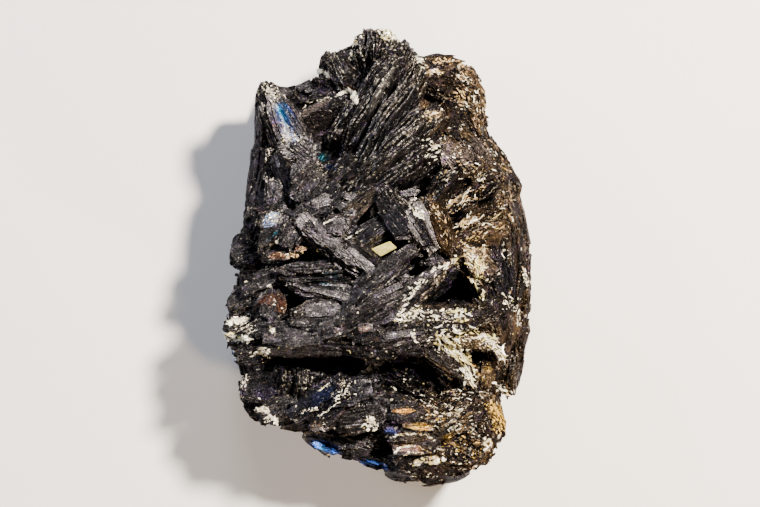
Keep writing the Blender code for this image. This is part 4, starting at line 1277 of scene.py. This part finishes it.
def smallTurns(count, degrees, dice):
    # random small rotations about a plate's long axis, its width and its own normal
    bend = dice.normal(0, 1, (count, 3)) * np.radians(degrees)
    return np.array([Euler(angles).to_matrix() for angles in bend.tolist()]).reshape(-1, 3, 3)


def openPlaces(objects, tree, tries, dice):
    # places on the pieces that nothing else covers, off the resting face
    places, facing = surfacePoints(objects, tries, dice)
    places = places + facing * openGround["lifted"]
    clear = [tree.ray_cast(Vector(place) + Vector(way) * 1e-5, Vector(way), openGround["clearOf"])[0] is None
             for place, way in zip(places.tolist(), facing.tolist())]
    return places[np.array(clear) & (places[:, 2] > openGround["aboveTable"])]


def strewPlates(name, places, shape, seed, dice):
    axes, room = nearestCrystal(tableSpots(places))
    turns = axes @ smallTurns(len(places), shape["tiltDegrees"], dice)
    lengths = np.minimum(dice.uniform(*shape["length"], len(places)), np.maximum(room * 2, shape["shortest"]))
    sizes = np.column_stack([  # half lengths and half widths, but whole thicknesses
        lengths * 0.0005,
        dice.uniform(*shape["width"], len(places)) * 0.0005,
        dice.uniform(*shape["thickness"], len(places)) * 0.001])
    ends = [pastEdge(seenAt(places + turns[:, :, 0] * sizes[:, :1] * way))[0] for way in (-1, 1)]
    within = np.maximum(*ends) < slivers["mayPass"]
    shapes = leafShapes(6, shape["sides"], seed)
    made = strew(name, shapes, places[within], turns[within], sizes[within], dice)
    paintFinish(made.data, 0.3)
    coatLeaves(made.data, shape["coated"])
    return made


def coatLeaves(mesh, share):
    # some whole leaves are coated with pyrite, more where it is broken through
    amount, chance = readLayer(mesh, "fleckAmount"), readLayer(mesh, "plateChance")
    coated = (chance * 3.7) % 1.0 < share * (0.15 + amount * 2.0)
    writeLayer(mesh, "fleckAmount", "FLOAT", np.where(coated, 1.6, amount))  # enough that no gaps are left


def makeLitter():
    dice = np.random.default_rng(specimen["seed"] + 2)
    tree = treeOf(blades)
    onBlades = openPlaces(plainBlades, tree, openGround["tries"], dice)
    spots = seenAt(onBlades)
    bare = spread(smooth, spots)
    standing = dice.random(len(spots)) < spread(leafy, spots) * (1 - bare) * leaves["share"]
    lying = ~standing & (dice.random(len(spots)) < (1 - bare) * slivers["keep"])
    sliverPlaces = onBlades[lying][:slivers["count"]]
    onMass = openPlaces([granularMass], tree, leaves["onMass"] * 3, dice)[:leaves["onMass"]]
    leafPlaces = np.concatenate([onMass, onBlades[standing][:leaves["onBlades"]]])
    return [strewPlates("slivers", sliverPlaces, slivers, specimen["seed"], dice),
            strewPlates("leafLitter", leafPlaces, leaves, specimen["seed"] + 1, dice)]


# pyrite that shows as lines, tips and broken patches, followed on the photograph from end to end:
# points, how far it spreads, how many, size in mm, how stretched along the line
creamTrails = [
    # the grains along these bright rims are partly pyrite and partly painted highlight
    ([(311, 80), (313, 75), (318, 71), (324, 72), (329, 77)], 0.7, 90, 0.55, 1.6),
    ([(338, 95), (344, 92), (350, 91), (355, 95), (356, 103)], 0.7, 90, 0.55, 1.6),
    ([(302, 110), (308, 103), (316, 100), (328, 98), (338, 96)], 0.4, 26, 0.22, 2.2),
    # the grains at the spike's foot are partly painted glints
    ([(283, 137), (291, 136), (299, 142)], 3.0, 40, 0.3, 1.4),
    ([(264, 84), (270, 90), (278, 97)], 3.2, 60, 0.3, 1.6),
    # the grains on the dome's top are partly painted highlight
    ([(363, 27), (372, 26), (384, 31), (396, 38)], 1.6, 70, 0.5, 1.5),
    ([(384, 36), (392, 38), (399, 41)], 2.0, 40, 0.55, 1.3),
    ([(354, 60), (353, 48), (357, 38), (361, 32)], 2.4, 44, 0.45, 1.2),
    ([(416, 57), (422, 62), (427, 67)], 1.6, 46, 0.45, 1.3),
    ([(428, 73), (436, 71), (441, 74)], 1.4, 44, 0.42, 1.6),
    ([(454, 74), (462, 77), (468, 82)], 2.0, 40, 0.36, 2.0),
    ([(462, 86), (476, 100), (484, 118)], 6.0, 70, 0.28, 2.4),
    ([(452, 96), (466, 98), (472, 112), (478, 128)], 6.0, 76, 0.28, 2.4),
    ([(424, 112), (432, 116), (441, 113)], 2.6, 46, 0.4, 1.4),
    ([(420, 160), (450, 150), (476, 150)], 9.0, 60, 0.26, 2.6),
    ([(440, 180), (470, 168), (496, 168)], 8.0, 60, 0.26, 2.8),
    ([(431, 147), (438, 146)], 1.6, 26, 0.5, 1.2),
    ([(445, 207), (456, 200), (470, 190)], 1.6, 50, 0.3, 3.4),
    ([(452, 213), (468, 200), (486, 188)], 2.0, 44, 0.28, 3.4),
    ([(458, 224), (468, 220), (478, 217)], 1.2, 46, 0.42, 3.0),
    ([(452, 235), (475, 222), (498, 210), (512, 200)], 2.6, 64, 0.26, 4.0),
    ([(460, 246), (482, 232), (506, 222)], 3.4, 60, 0.28, 3.6),
    ([(484, 140), (497, 152), (506, 172), (512, 196)], 3.2, 60, 0.26, 2.6),
    ([(511, 214), (511, 220)], 1.2, 14, 0.5, 1.2),
    ([(410, 206), (416, 211), (422, 217)], 2.0, 44, 0.45, 1.3),
    ([(462, 248), (476, 252), (488, 246)], 3.0, 50, 0.34, 2.8),
    ([(466, 258), (476, 264), (482, 272)], 4.5, 80, 0.36, 2.4),
    ([(470, 276), (476, 288), (481, 297)], 2.0, 60, 0.42, 2.6),
    ([(486, 250), (481, 264), (478, 280)], 2.6, 50, 0.40, 2.4),
    ([(456, 258), (448, 263), (441, 270)], 1.4, 34, 0.4, 1.8),
    ([(440, 266), (427, 276), (415, 288), (402, 306)], 2.0, 80, 0.34, 2.0),
    ([(397, 319), (405, 312), (416, 310), (426, 313)], 2.6, 76, 0.42, 1.5),
    ([(402, 322), (412, 317), (422, 318)], 2.0, 30, 0.4, 1.5),
    ([(431, 319), (444, 313), (458, 311), (469, 315)], 2.4, 84, 0.42, 1.5),
    ([(442, 321), (455, 320), (467, 319)], 1.6, 24, 0.4, 1.5),
    ([(412, 331), (415, 340)], 1.2, 22, 0.42, 1.6),
    ([(430, 338), (450, 334), (474, 334), (498, 344)], 3.6, 110, 0.36, 3.0),
    ([(437, 338), (452, 350), (466, 362), (474, 374)], 3.6, 130, 0.38, 3.6),
    ([(446, 340), (462, 352), (474, 364)], 3.4, 80, 0.36, 3.6),
    ([(462, 368), (468, 376), (472, 384)], 2.0, 44, 0.42, 3.0),
    ([(490, 338), (497, 350), (505, 360)], 2.6, 70, 0.4, 2.8),
    ([(496, 386), (504, 390), (510, 394)], 2.0, 40, 0.4, 2.2),
    ([(523, 268), (527, 278), (527, 288)], 1.6, 34, 0.45, 1.4),
    ([(500, 290), (512, 300), (520, 330)], 4.5, 60, 0.36, 2.0),
    ([(228, 322), (238, 321), (247, 319)], 1.8, 64, 0.52, 1.6),
    ([(224, 334), (236, 337), (250, 341)], 2.0, 84, 0.52, 1.6),
    ([(252, 354), (262, 351), (268, 356)], 2.0, 50, 0.45, 1.4),
    # painted glints in pale blue along the left edge
    ([(230, 352), (233, 362), (236, 374)], 1.6, 34, 0.3, 1.6, "paleBlueHighlight"),
    ([(270, 329), (274, 331)], 1.2, 18, 0.45, 1.2),
    ([(243, 376), (244, 388)], 1.8, 26, 0.45, 1.4),
    ([(256, 410), (262, 409), (268, 412)], 1.4, 40, 0.5, 1.4),
    ([(266, 420), (272, 418), (278, 423)], 1.6, 46, 0.5, 1.4),
    ([(269, 286), (277, 284), (285, 285)], 0.7, 26, 0.4, 1.8),
    ([(365, 424), (370, 417), (375, 427), (366, 427)], 1.2, 54, 0.5, 1.3),
    ([(338, 398), (345, 394), (352, 391)], 2.4, 32, 0.3, 1.6),
    ([(340, 384), (346, 382), (352, 384)], 2.2, 18, 0.28, 1.6),
    ([(300, 412), (310, 410), (318, 409)], 0.8, 24, 0.26, 2.0),
    ([(323, 224), (331, 220), (340, 215)], 0.4, 16, 0.22, 2.6),
    ([(345, 240), (355, 234), (365, 227)], 0.4, 16, 0.22, 2.6),
    ([(318, 392), (326, 386), (334, 379)], 0.3, 20, 0.2, 3.0),
    ([(320, 416), (329, 409), (338, 402)], 0.3, 20, 0.2, 3.0),
    ([(388, 437), (402, 434), (418, 434), (432, 438)], 0.8, 60, 0.32, 2.6),
    ([(394, 453), (404, 446), (418, 446), (430, 452)], 0.5, 44, 0.26, 2.6),
    ([(400, 458), (410, 452), (424, 453)], 0.5, 30, 0.24, 2.6),
    ([(413, 463), (425, 461), (436, 459), (445, 461)], 1.8, 120, 0.5, 1.4),
    ([(486, 439), (490, 444), (487, 449)], 2.2, 80, 0.55, 1.2),
    ([(410, 396), (440, 402), (470, 396), (486, 392)], 7.0, 130, 0.2, 3.6),
    ([(424, 412), (446, 416), (470, 412)], 6.0, 120, 0.2, 3.6),
    ([(434, 428), (456, 426), (480, 430)], 6.0, 120, 0.2, 3.6),
    ([(440, 450), (468, 448), (484, 458), (460, 468)], 5.0, 90, 0.26, 1.8),
    ([(400, 474), (430, 478), (470, 470)], 4.0, 50, 0.22, 1.6),
    ([(268, 258), (276, 254), (290, 256), (308, 249)], 2.2, 60, 0.34, 1.6, "honey"),
    ([(264, 296), (276, 304), (288, 308)], 5.0, 26, 0.26, 1.6, "rust"),
    ([(436, 62), (452, 61), (466, 66)], 2.4, 60, 0.3, 2.0, "honey"),
    # painted highlights in pale blue on the left facet and at the spike's foot
    ([(264, 223), (273, 216), (283, 214)], 2.4, 60, 0.3, 1.6, "paleBlueHighlight"),
    ([(284, 128), (290, 134), (300, 140)], 2.6, 40, 0.24, 1.6, "paleBlueHighlight"),
    ([(430, 198), (441, 216), (448, 240)], 2.4, 60, 0.22, 4.0, "honey"),
    ([(490, 404), (498, 416), (502, 430)], 4.0, 130, 0.34, 1.8, "gold"),
    ([(312, 424), (322, 427), (332, 430)], 3.0, 50, 0.28, 1.8, "bronze"),
]

yellowCrystal = {
    "corners": [(371, 249), (380, 257), (397, 248), (390, 241)],  # pixels
    "deep": 0.0032, "edge": 0.00022, "proud": 0.0002,  # metres
    "tops": (0.0005, -0.0004, -0.0004, 0.0005),  # how its corners stand against that
    "uneven": (900, 0.00016),
    "colour": "#cfc374",
}


def makeYellowCrystal():
    # one whole pyrite crystal, set between the blades with its bright face up
    tree = treeOf(blades)
    rays = [cameraRay(*corner) for corner in yellowCrystal["corners"]]
    hits = [tree.ray_cast(eye, ray.normalized())[0] for ray in rays]
    level = max(hit.z for hit in hits if hit)
    crystal = bmesh.new()
    bmesh.ops.create_cube(crystal, size=1.0)
    order = [(-1, -1), (1, -1), (1, 1), (-1, 1)]
    for corner in crystal.verts:
        index = order.index((round(corner.co.x * 2), round(corner.co.y * 2)))
        top = level + yellowCrystal["proud"] + yellowCrystal["tops"][index]
        place = eye + rays[index] * (view["height"] - top)
        if corner.co.z < 0:
            place.z -= yellowCrystal["deep"]
        corner.co = place
    bmesh.ops.bevel(crystal, geom=crystal.edges[:] + crystal.verts[:], offset=yellowCrystal["edge"], segments=2,
                    profile=0.5, affect="EDGES", material=-1)
    bmesh.ops.subdivide_edges(crystal, edges=crystal.edges[:], cuts=3, use_grid_fill=True)
    bmesh.ops.recalc_face_normals(crystal, faces=crystal.faces)
    scale, rise = yellowCrystal["uneven"]
    for corner in crystal.verts:
        corner.co.z += noise.noise(corner.co * scale) * rise
    mesh = bpy.data.meshes.new("pyriteCrystal")
    crystal.to_mesh(mesh)
    crystal.free()
    writeLayer(mesh, "tint", "FLOAT_COLOR", np.tile((*linear(yellowCrystal["colour"]), 1.0), len(mesh.vertices)))
    print("yellow crystal at", round(level, 4))
    return addObject("pyriteCrystal", mesh)


trails = {
    "lowest": 0.004, "flattest": 0.1,  # metres above the table, and how far a face must look up
    "turn": 0.3, "tumble": 0.35,  # radians, along the line and any other way
    "size": (0.45, 1.5, 2.5),  # the smallest, how much more at most, and how rare the largest are
    "width": (0.6, 1.1), "height": (0.5, 0.9),  # against the length
    "ownFinish": 0.8,  # the share of a coloured line's grains that have its colour
}


def makeTrails():
    # each grain is dropped along the camera's own line to the piece that it lies on
    dice = np.random.default_rng(specimen["seed"] + 4)
    tree = treeOf(blades + [granularMass] + litter)
    places, turns, sizes, finishOf = [], [], [], []
    for points, scatter, count, size, stretch, *finish in creamTrails:
        corners = np.array(points, dtype=float)
        steps = np.linalg.norm(np.diff(corners, axis=0), axis=1)
        for share in dice.random(count) * steps.sum():
            part = int(min(np.searchsorted(np.cumsum(steps), share), len(steps) - 1))
            way = (corners[part + 1] - corners[part]) / steps[part]
            spot = corners[part] + way * (share - steps[:part].sum()) + dice.normal(0, scatter, 2)
            hit, facing = tree.ray_cast(eye, cameraRay(*spot).normalized())[:2]
            if hit is None or hit.z < trails["lowest"] or facing.z < trails["flattest"]:
                continue
            heading = Matrix.Rotation(math.atan2(-way[1], way[0]) + dice.normal(0, trails["turn"]), 3, "Z")
            leaning = Vector((0, 0, 1)).rotation_difference(facing).to_matrix()
            smallest, more, rarity = trails["size"]
            own = size * 0.0005 * (smallest + more * dice.random() ** rarity)
            tumbled = Euler(dice.normal(0, trails["tumble"], 3).tolist()).to_matrix()
            places.append(hit[:])
            turns.append(np.array(leaning @ heading @ tumbled))
            width, height = (own * dice.uniform(*trails[name]) for name in ("width", "height"))
            sizes.append((own * stretch, width, height))
            finishOf.append(finish[0] if finish and dice.random() < trails["ownFinish"] else "")
    places = np.array(places)
    tones = toneOfPyrite(places, dice)
    for i, name in enumerate(finishOf):
        if name:
            tones[i] = linear(finishes[name])
    return strew("pyriteTrails", grainShapes(8, specimen["seed"] + 5),
                 places, np.array(turns), np.array(sizes), dice, tones)


def makeGrains():
    dice = np.random.default_rng(specimen["seed"] + 3)
    places, facing = surfacePoints(blades + [granularMass] + litter, grains["count"] * 16, dice)
    spots = seenAt(places)
    upper = np.clip((places[:, 2] - grains["upperFrom"]) / grains["upperFade"], 0.25, 1)
    outside = 1 - np.clip(spread(hollows, spots), 0, 1)
    wanted = spread(flecks, spots) * (1 - spread(smooth, spots)) * outside * upper
    upward = np.clip(facing[:, 2] * 0.6 + 0.5, 0.1, 1)
    taken = (dice.random(len(wanted)) < wanted * upward) & (places[:, 2] > openGround["aboveTable"])
    places, facing = places[taken][:grains["count"]], facing[taken][:grains["count"]]
    count = len(places)
    turns = np.array([Euler(angles).to_matrix() for angles in dice.uniform(0, math.tau, (count, 3)).tolist()])
    smallest, largest = grains["size"]
    size = dice.uniform(0, 1, count) ** 3 * (largest - smallest) + smallest
    sizes = (size * 0.0005)[:, None] * dice.uniform(*grains["stretch"], (count, 3))
    tones = toneOfPyrite(places, dice)
    return strew("pyriteGrains", grainShapes(8, specimen["seed"]), places, turns, sizes, dice, tones)


litter = makeLitter()
pyriteGrains, pyriteTrails = makeGrains(), makeTrails()
pyriteCrystal = makeYellowCrystal()


def addNode(tree, kind, settings=None, inputs=None, output=0):
    # one node with its settings, its values and what is linked into it; gives back the output that is read from it
    node = tree.nodes.new(kind)
    for name, value in (settings or {}).items():
        setattr(node, name, value)
    for name, value in (inputs or {}).items():
        if isinstance(value, bpy.types.NodeSocket):
            tree.links.new(value, node.inputs[name])
        else:
            node.inputs[name].default_value = value
    return node.outputs[output] if node.outputs else node


# scales are per metre, or per mm along, across and through a plate
cleavage = {
    "metallic": (0.86, 0.35),  # of the plates, and of the cream pyrite broken through them
    "roughness": (0.16, 0.46),
    "bump": (0.00010, 0.00042),  # metres, on clean plates and on leafy ground
    "striation": (0.28, 3.0, 4.5),  # 0.3 mm apart; real steps are finer than a pixel, so they are drawn coarser
    "waviness": (0.25, 1.7),  # on clean plates and on leafy ground
    "curl": (0.55, 1.35, 1.6),  # leaf edges curl about 0.8 mm apart
    "clouds": {  # scale, detail, roughness
        "grain": (2600.0, 3.0, 0.6),  # 0.4 mm grains, the size that still shows
        "mottle": (560.0, 4.0, 0.6),  # 2 mm patches
        "fine": (1700.0, 3.0, 0.7),  # 0.6 mm specks
        "cluster": (420.0, 2.0, 0.6),  # 2.5 mm nests of pyrite
        "tarnish": (420.0, 3.0, 0.6),
    },
    "cells": 1900.0,  # 0.5 mm crystal ends
    "edgeTint": (0.34, 0.34, 0.38, 1.0),
    # the colours of the painted highlights along the cleavage steps and along the plates' rims
    "step": "#a59f9c", "rimGlint": "#c4baa8",
    "tarnish": [(0.34, "#39406e"), (0.43, "#3f7f9e"), (0.50, "#80559a"), (0.57, "#9c7a50"), (0.66, "#455c9c")],
}


def newMaterial(name):
    made = bpy.data.materials.new(name)
    made.use_nodes = True
    made.node_tree.nodes.clear()
    return made, made.node_tree


def covelliteMaterial():
    # covellite, natural cleavage: indigo-black metal sheen, tarnished, with pyrite broken through it
    made, tree = newMaterial("covelliteCleavage")
    place = addNode(tree, "ShaderNodeTexCoord", output="Object")
    blade, tint, placeTint, fleckAmount, colourAmount, rim, coarse = (
        addNode(tree, "ShaderNodeAttribute", {"attribute_name": name}, output=kind)
        for name, kind in (
            ("bladeSpace", "Vector"), ("tint", "Color"), ("placeTint", "Color"), ("fleckAmount", "Fac"),
            ("colourAmount", "Fac"), ("rim", "Fac"), ("coarse", "Fac")))
    grain, mottle, fine, cluster, drift = (
        addNode(tree, "ShaderNodeTexNoise", None, {
            "Vector": place, "Scale": scale, "Detail": detail, "Roughness": roughness})
        for scale, detail, roughness in cleavage["clouds"].values())

    # steps of the cleavage run along each plate and wander where it is leafy
    stretched = addNode(tree, "ShaderNodeMapping", None, {"Vector": blade, "Scale": cleavage["striation"]})
    waviness = addNode(tree, "ShaderNodeMapRange", None, {
        "Value": coarse, "To Min": cleavage["waviness"][0], "To Max": cleavage["waviness"][1]})
    striation = addNode(tree, "ShaderNodeTexNoise", None, {
        "Vector": stretched, "Scale": 1.0, "Detail": 5.0, "Roughness": 0.68, "Distortion": waviness})

    # curled leaf edges: the lines where a soft noise passes its middle, which carry painted highlights, and the
    # gaps that lie beside them, which carry painted shade
    curled = addNode(tree, "ShaderNodeMapping", None, {"Vector": blade, "Scale": cleavage["curl"]})
    curl = addNode(tree, "ShaderNodeTexNoise", None, {
        "Vector": curled, "Scale": 1.0, "Detail": 2.0, "Roughness": 0.5, "Distortion": 1.4})
    offLine = addNode(tree, "ShaderNodeMath", {"operation": "SUBTRACT"}, {0: curl, 1: 0.53})
    offLine = addNode(tree, "ShaderNodeMath", {"operation": "ABSOLUTE"}, {0: offLine})
    leafEdge = addNode(tree, "ShaderNodeMapRange", None, {
        "Value": offLine, "From Min": 0.006, "From Max": 0.03, "To Min": 1.0, "To Max": 0.0})
    offGapShade = addNode(tree, "ShaderNodeMath", {"operation": "SUBTRACT"}, {0: curl, 1: 0.44})
    offGapShade = addNode(tree, "ShaderNodeMath", {"operation": "ABSOLUTE"}, {0: offGapShade})
    paintedGapShade = addNode(tree, "ShaderNodeMapRange", None, {
        "Value": offGapShade, "From Min": 0.015, "From Max": 0.06, "To Min": 0.05, "To Max": 1.0})
    paintedGapShade = addNode(tree, "ShaderNodeMix", {"data_type": "FLOAT"}, {0: coarse, 2: 1.0, 3: paintedGapShade})

    # the plates' own shade wanders along the striation and from grain to grain, and painted shade darkens the gaps
    # beside the curled leaf edges
    cells = addNode(tree, "ShaderNodeTexVoronoi", None, {"Vector": place, "Scale": cleavage["cells"]}, "Color")
    cellChance = addNode(tree, "ShaderNodeSeparateColor", None, {"Color": cells})
    shade = addNode(tree, "ShaderNodeMapRange", None, {
        "Value": striation, "From Min": 0.32, "From Max": 0.7, "To Min": 0.2, "To Max": 1.8})
    mottleShade = addNode(tree, "ShaderNodeMapRange", None, {
        "Value": mottle, "From Min": 0.32, "From Max": 0.68, "To Min": 0.45, "To Max": 1.45})
    cellShade = addNode(tree, "ShaderNodeMapRange", None, {"Value": cellChance, "To Min": 0.55, "To Max": 1.4})
    for part in (mottleShade, cellShade, paintedGapShade):
        shade = addNode(tree, "ShaderNodeMath", {"operation": "MULTIPLY"}, {0: shade, 1: part})

    # tarnish comes in streaks where the plates are coloured, and faintly elsewhere
    streaks = addNode(tree, "ShaderNodeMath", {"operation": "ADD"}, {0: striation, 1: fine})
    streaks = addNode(tree, "ShaderNodeMath", {"operation": "MULTIPLY"}, {0: streaks, 1: 0.8})
    patchy = addNode(tree, "ShaderNodeMath", {"operation": "MULTIPLY_ADD"}, {0: colourAmount, 1: 0.9, 2: streaks})
    coloured = addNode(tree, "ShaderNodeMapRange", None, {"Value": patchy, "From Min": 1.15, "From Max": 1.55})
    own = addNode(tree, "ShaderNodeMix", {"data_type": "RGBA"}, {0: coloured, 6: tint, 7: placeTint}, 2)
    shaded = addNode(tree, "ShaderNodeVectorMath", {"operation": "SCALE"}, {0: own, "Scale": shade})
    tarnish = addNode(tree, "ShaderNodeValToRGB", None, {"Fac": drift})
    ramp = tarnish.node.color_ramp
    marks = [ramp.elements[0], ramp.elements[1]] + [ramp.elements.new(0.5) for stop in cleavage["tarnish"][2:]]
    for (at, colour), mark in zip(cleavage["tarnish"], marks):
        mark.position, mark.color = at, (*linear(colour), 1)
    faint = addNode(tree, "ShaderNodeMapRange", None, {
        "Value": mottle, "From Min": 0.55, "From Max": 0.75, "To Max": 0.17})
    tinted = addNode(tree, "ShaderNodeMix", {"data_type": "RGBA"}, {0: faint, 6: shaded, 7: tarnish}, 2)

    # painted highlight: thin silvery streaks where a cleavage step would catch the light
    glintAt = addNode(tree, "ShaderNodeMath", {"operation": "MULTIPLY"}, {0: fine, 1: 0.4})
    glintAt = addNode(tree, "ShaderNodeMath", {"operation": "MULTIPLY_ADD"}, {0: striation, 1: 0.6, 2: glintAt})
    paintedStepGlint = addNode(tree, "ShaderNodeMapRange", None, {
        "Value": glintAt, "From Min": 0.585, "From Max": 0.66, "To Max": 0.85})
    plain = addNode(tree, "ShaderNodeMapRange", None, {"Value": colourAmount, "To Min": 1.0, "To Max": 0.25})
    paintedStepGlint = addNode(tree, "ShaderNodeMath", {"operation": "MULTIPLY"}, {0: paintedStepGlint, 1: plain})
    tinted = addNode(tree, "ShaderNodeMix", {"data_type": "RGBA"}, {
        0: paintedStepGlint, 6: tinted, 7: (*linear(cleavage["step"]), 1)}, 2)

    # broken cream pyrite in nests of fine specks, and painted highlights in short bright lines along the curled
    # leaf edges
    lifted = addNode(tree, "ShaderNodeMath", {"operation": "MULTIPLY_ADD"}, {0: cluster, 1: 0.7, 2: fine})
    lifted = addNode(tree, "ShaderNodeMath", {"operation": "MULTIPLY_ADD"}, {0: fleckAmount, 1: 0.34, 2: lifted})
    nests = addNode(tree, "ShaderNodeMapRange", None, {"Value": lifted, "From Min": 1.10, "From Max": 1.17})
    edgeGlintShare = addNode(tree, "ShaderNodeMath", {"operation": "MULTIPLY_ADD"}, {0: fleckAmount, 1: 0.32, 2: fine})
    edgeGlintShare = addNode(tree, "ShaderNodeMapRange", None, {"Value": edgeGlintShare, "From Min": 0.62, "From Max": 0.70})
    edgeGlints = addNode(tree, "ShaderNodeMath", {"operation": "MULTIPLY"}, {0: leafEdge, 1: edgeGlintShare})
    broken = addNode(tree, "ShaderNodeMath", {"operation": "MAXIMUM"}, {0: nests, 1: edgeGlints})
    # painted highlight: pale glints along the plates' rims
    rimGlintAt = addNode(tree, "ShaderNodeMath", {"operation": "MULTIPLY"}, {0: rim, 1: fine})
    rimGlint = addNode(tree, "ShaderNodeMapRange", None, {
        "Value": rimGlintAt, "From Min": 0.52, "From Max": 0.62, "To Max": 0.7})
    tinted = addNode(tree, "ShaderNodeMix", {"data_type": "RGBA"}, {
        0: rimGlint, 6: tinted, 7: (*linear(cleavage["rimGlint"]), 1)}, 2)
    warmth = addNode(tree, "ShaderNodeMapRange", None, {"Value": cluster, "From Min": 0.4, "From Max": 0.6})
    bright = addNode(tree, "ShaderNodeMix", {"data_type": "RGBA"}, {
        0: warmth, 6: (*linear(finishes["tan"]), 1), 7: (*linear(finishes["cream"]), 1)}, 2)
    whole = addNode(tree, "ShaderNodeMapRange", None, {"Value": coarse, "To Min": 1.0, "To Max": 0.35})
    whole = addNode(tree, "ShaderNodeMath", {"operation": "MULTIPLY"}, {0: nests, 1: whole})
    bright = addNode(tree, "ShaderNodeMix", {"data_type": "RGBA"}, {
        0: whole, 6: bright, 7: (*linear(finishes["cream"]), 1)}, 2)
    colour = addNode(tree, "ShaderNodeMix", {"data_type": "RGBA"}, {0: broken, 6: tinted, 7: bright}, 2)

    rough = addNode(tree, "ShaderNodeMapRange", None, {
        "Value": grain, "From Min": 0.3, "From Max": 0.7,
        "To Min": cleavage["roughness"][0], "To Max": cleavage["roughness"][1]})
    metal = addNode(tree, "ShaderNodeMapRange", None, {
        "Value": broken, "To Min": cleavage["metallic"][0], "To Max": cleavage["metallic"][1]})
    relief = addNode(tree, "ShaderNodeMath", {"operation": "MULTIPLY_ADD"}, {0: striation, 1: 1.1, 2: grain})
    relief = addNode(tree, "ShaderNodeMath", {"operation": "MULTIPLY_ADD"}, {0: paintedGapShade, 1: 0.25, 2: relief})
    height = addNode(tree, "ShaderNodeMapRange", None, {
        "Value": coarse, "To Min": cleavage["bump"][0], "To Max": cleavage["bump"][1]})
    bump = addNode(tree, "ShaderNodeBump", None, {"Height": relief, "Distance": height, "Strength": 1.0})
    skin = addNode(tree, "ShaderNodeBsdfPrincipled", None, {
        "Base Color": colour, "Metallic": metal, "Roughness": rough, "Specular Tint": cleavage["edgeTint"],
        "Normal": bump})
    addNode(tree, "ShaderNodeOutputMaterial", None, {"Surface": skin})
    return made


def pyriteMaterial():
    # pyrite and marcasite, broken: pale brassy cream, bright at its faces
    made, tree = newMaterial("brokenPyrite")
    place = addNode(tree, "ShaderNodeTexCoord", output="Object")
    tint = addNode(tree, "ShaderNodeAttribute", {"attribute_name": "tint"})
    # 0.25 mm facets, about the finest that the render shows
    grain = addNode(tree, "ShaderNodeTexNoise", None, {"Vector": place, "Scale": 4200.0, "Detail": 3.0})
    shade = addNode(tree, "ShaderNodeMapRange", None, {
        "Value": grain, "From Min": 0.3, "From Max": 0.6, "To Min": 0.58, "To Max": 1.0})
    colour = addNode(tree, "ShaderNodeVectorMath", {"operation": "SCALE"}, {0: tint, "Scale": shade})
    bump = addNode(tree, "ShaderNodeBump", None, {"Height": grain, "Distance": 0.00008, "Strength": 0.8})
    skin = addNode(tree, "ShaderNodeBsdfPrincipled", None, {
        "Base Color": colour, "Metallic": 0.15, "Roughness": 0.26, "Normal": bump})
    addNode(tree, "ShaderNodeOutputMaterial", None, {"Surface": skin})
    return made


covelliteSkin, pyriteSkin = covelliteMaterial(), pyriteMaterial()
for piece in blades + litter + [granularMass, pyriteGrains, pyriteTrails, pyriteCrystal]:
    piece.data.materials.clear()
    piece.data.materials.append(pyriteSkin if piece.name.startswith("pyrite") else covelliteSkin)
    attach(piece, "root")
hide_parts("covellite_mass")
massNode.data.materials.clear()
massNode.data.materials.append(covelliteSkin)
print("materials set")

studio = {
    "floor": "#efecea", "floorRoughness": 0.8, "floorSize": 1.2, "floorBelow": 0.0002,  # metres
    "world": "#b9bcc4", "worldStrength": 0.036,
    "lookAt": (0, 0, 0.02),
}
lights = [  # name, place, size, watts, colour
    ("keyLight", (0.20, 0.17, 0.44), 0.06, 11.9, "#fff4e4"),
    ("leftFill", (-0.34, 0.10, 0.30), 0.14, 0.95, "#e4ecff"),
    ("topFill", (-0.04, 0.40, 0.30), 0.16, 0.9, "#ffffff"),
    ("lowGold", (0.24, -0.30, 0.20), 0.07, 1.5, "#ffe0b4"),
]


def makeStudio():
    floor = bmesh.new()
    bmesh.ops.create_grid(floor, x_segments=1, y_segments=1, size=studio["floorSize"])
    bmesh.ops.translate(floor, vec=(0, 0, -studio["floorBelow"]), verts=floor.verts)
    mesh = bpy.data.meshes.new("paleFloor")
    floor.to_mesh(mesh)
    floor.free()
    paper, tree = newMaterial("palePaper")  # coated paper, matt: even and pale, with no pattern
    sheet = addNode(tree, "ShaderNodeBsdfPrincipled", None, {
        "Base Color": (*linear(studio["floor"]), 1), "Roughness": studio["floorRoughness"]})
    addNode(tree, "ShaderNodeOutputMaterial", None, {"Surface": sheet})
    mesh.materials.append(paper)
    made = addObject("paleFloor", mesh)
    for name, place, size, watts, colour in lights:
        lamp = bpy.data.lights.new(name, "AREA")
        lamp.shape, lamp.size, lamp.energy, lamp.color = "DISK", size, watts, linear(colour)
        shown = addObject(name, lamp)
        shown.location = place
        shown.rotation_euler = (Vector(studio["lookAt"]) - Vector(place)).to_track_quat("-Z", "Y").to_euler()
    world = bpy.data.worlds.new("studio")
    world.use_nodes = True
    air = world.node_tree.nodes["Background"]
    air.inputs["Color"].default_value = (*linear(studio["world"]), 1)
    air.inputs["Strength"].default_value = studio["worldStrength"]
    bpy.context.scene.world = world
    camera = bpy.data.cameras.new("photoCamera")
    camera.lens, camera.sensor_width = view["lens"], view["sensor"]
    camera.clip_start, camera.clip_end = 0.01, 10
    bpy.context.scene.camera = addObject("photoCamera", camera)
    bpy.context.scene.camera.location = eye


makeStudio()
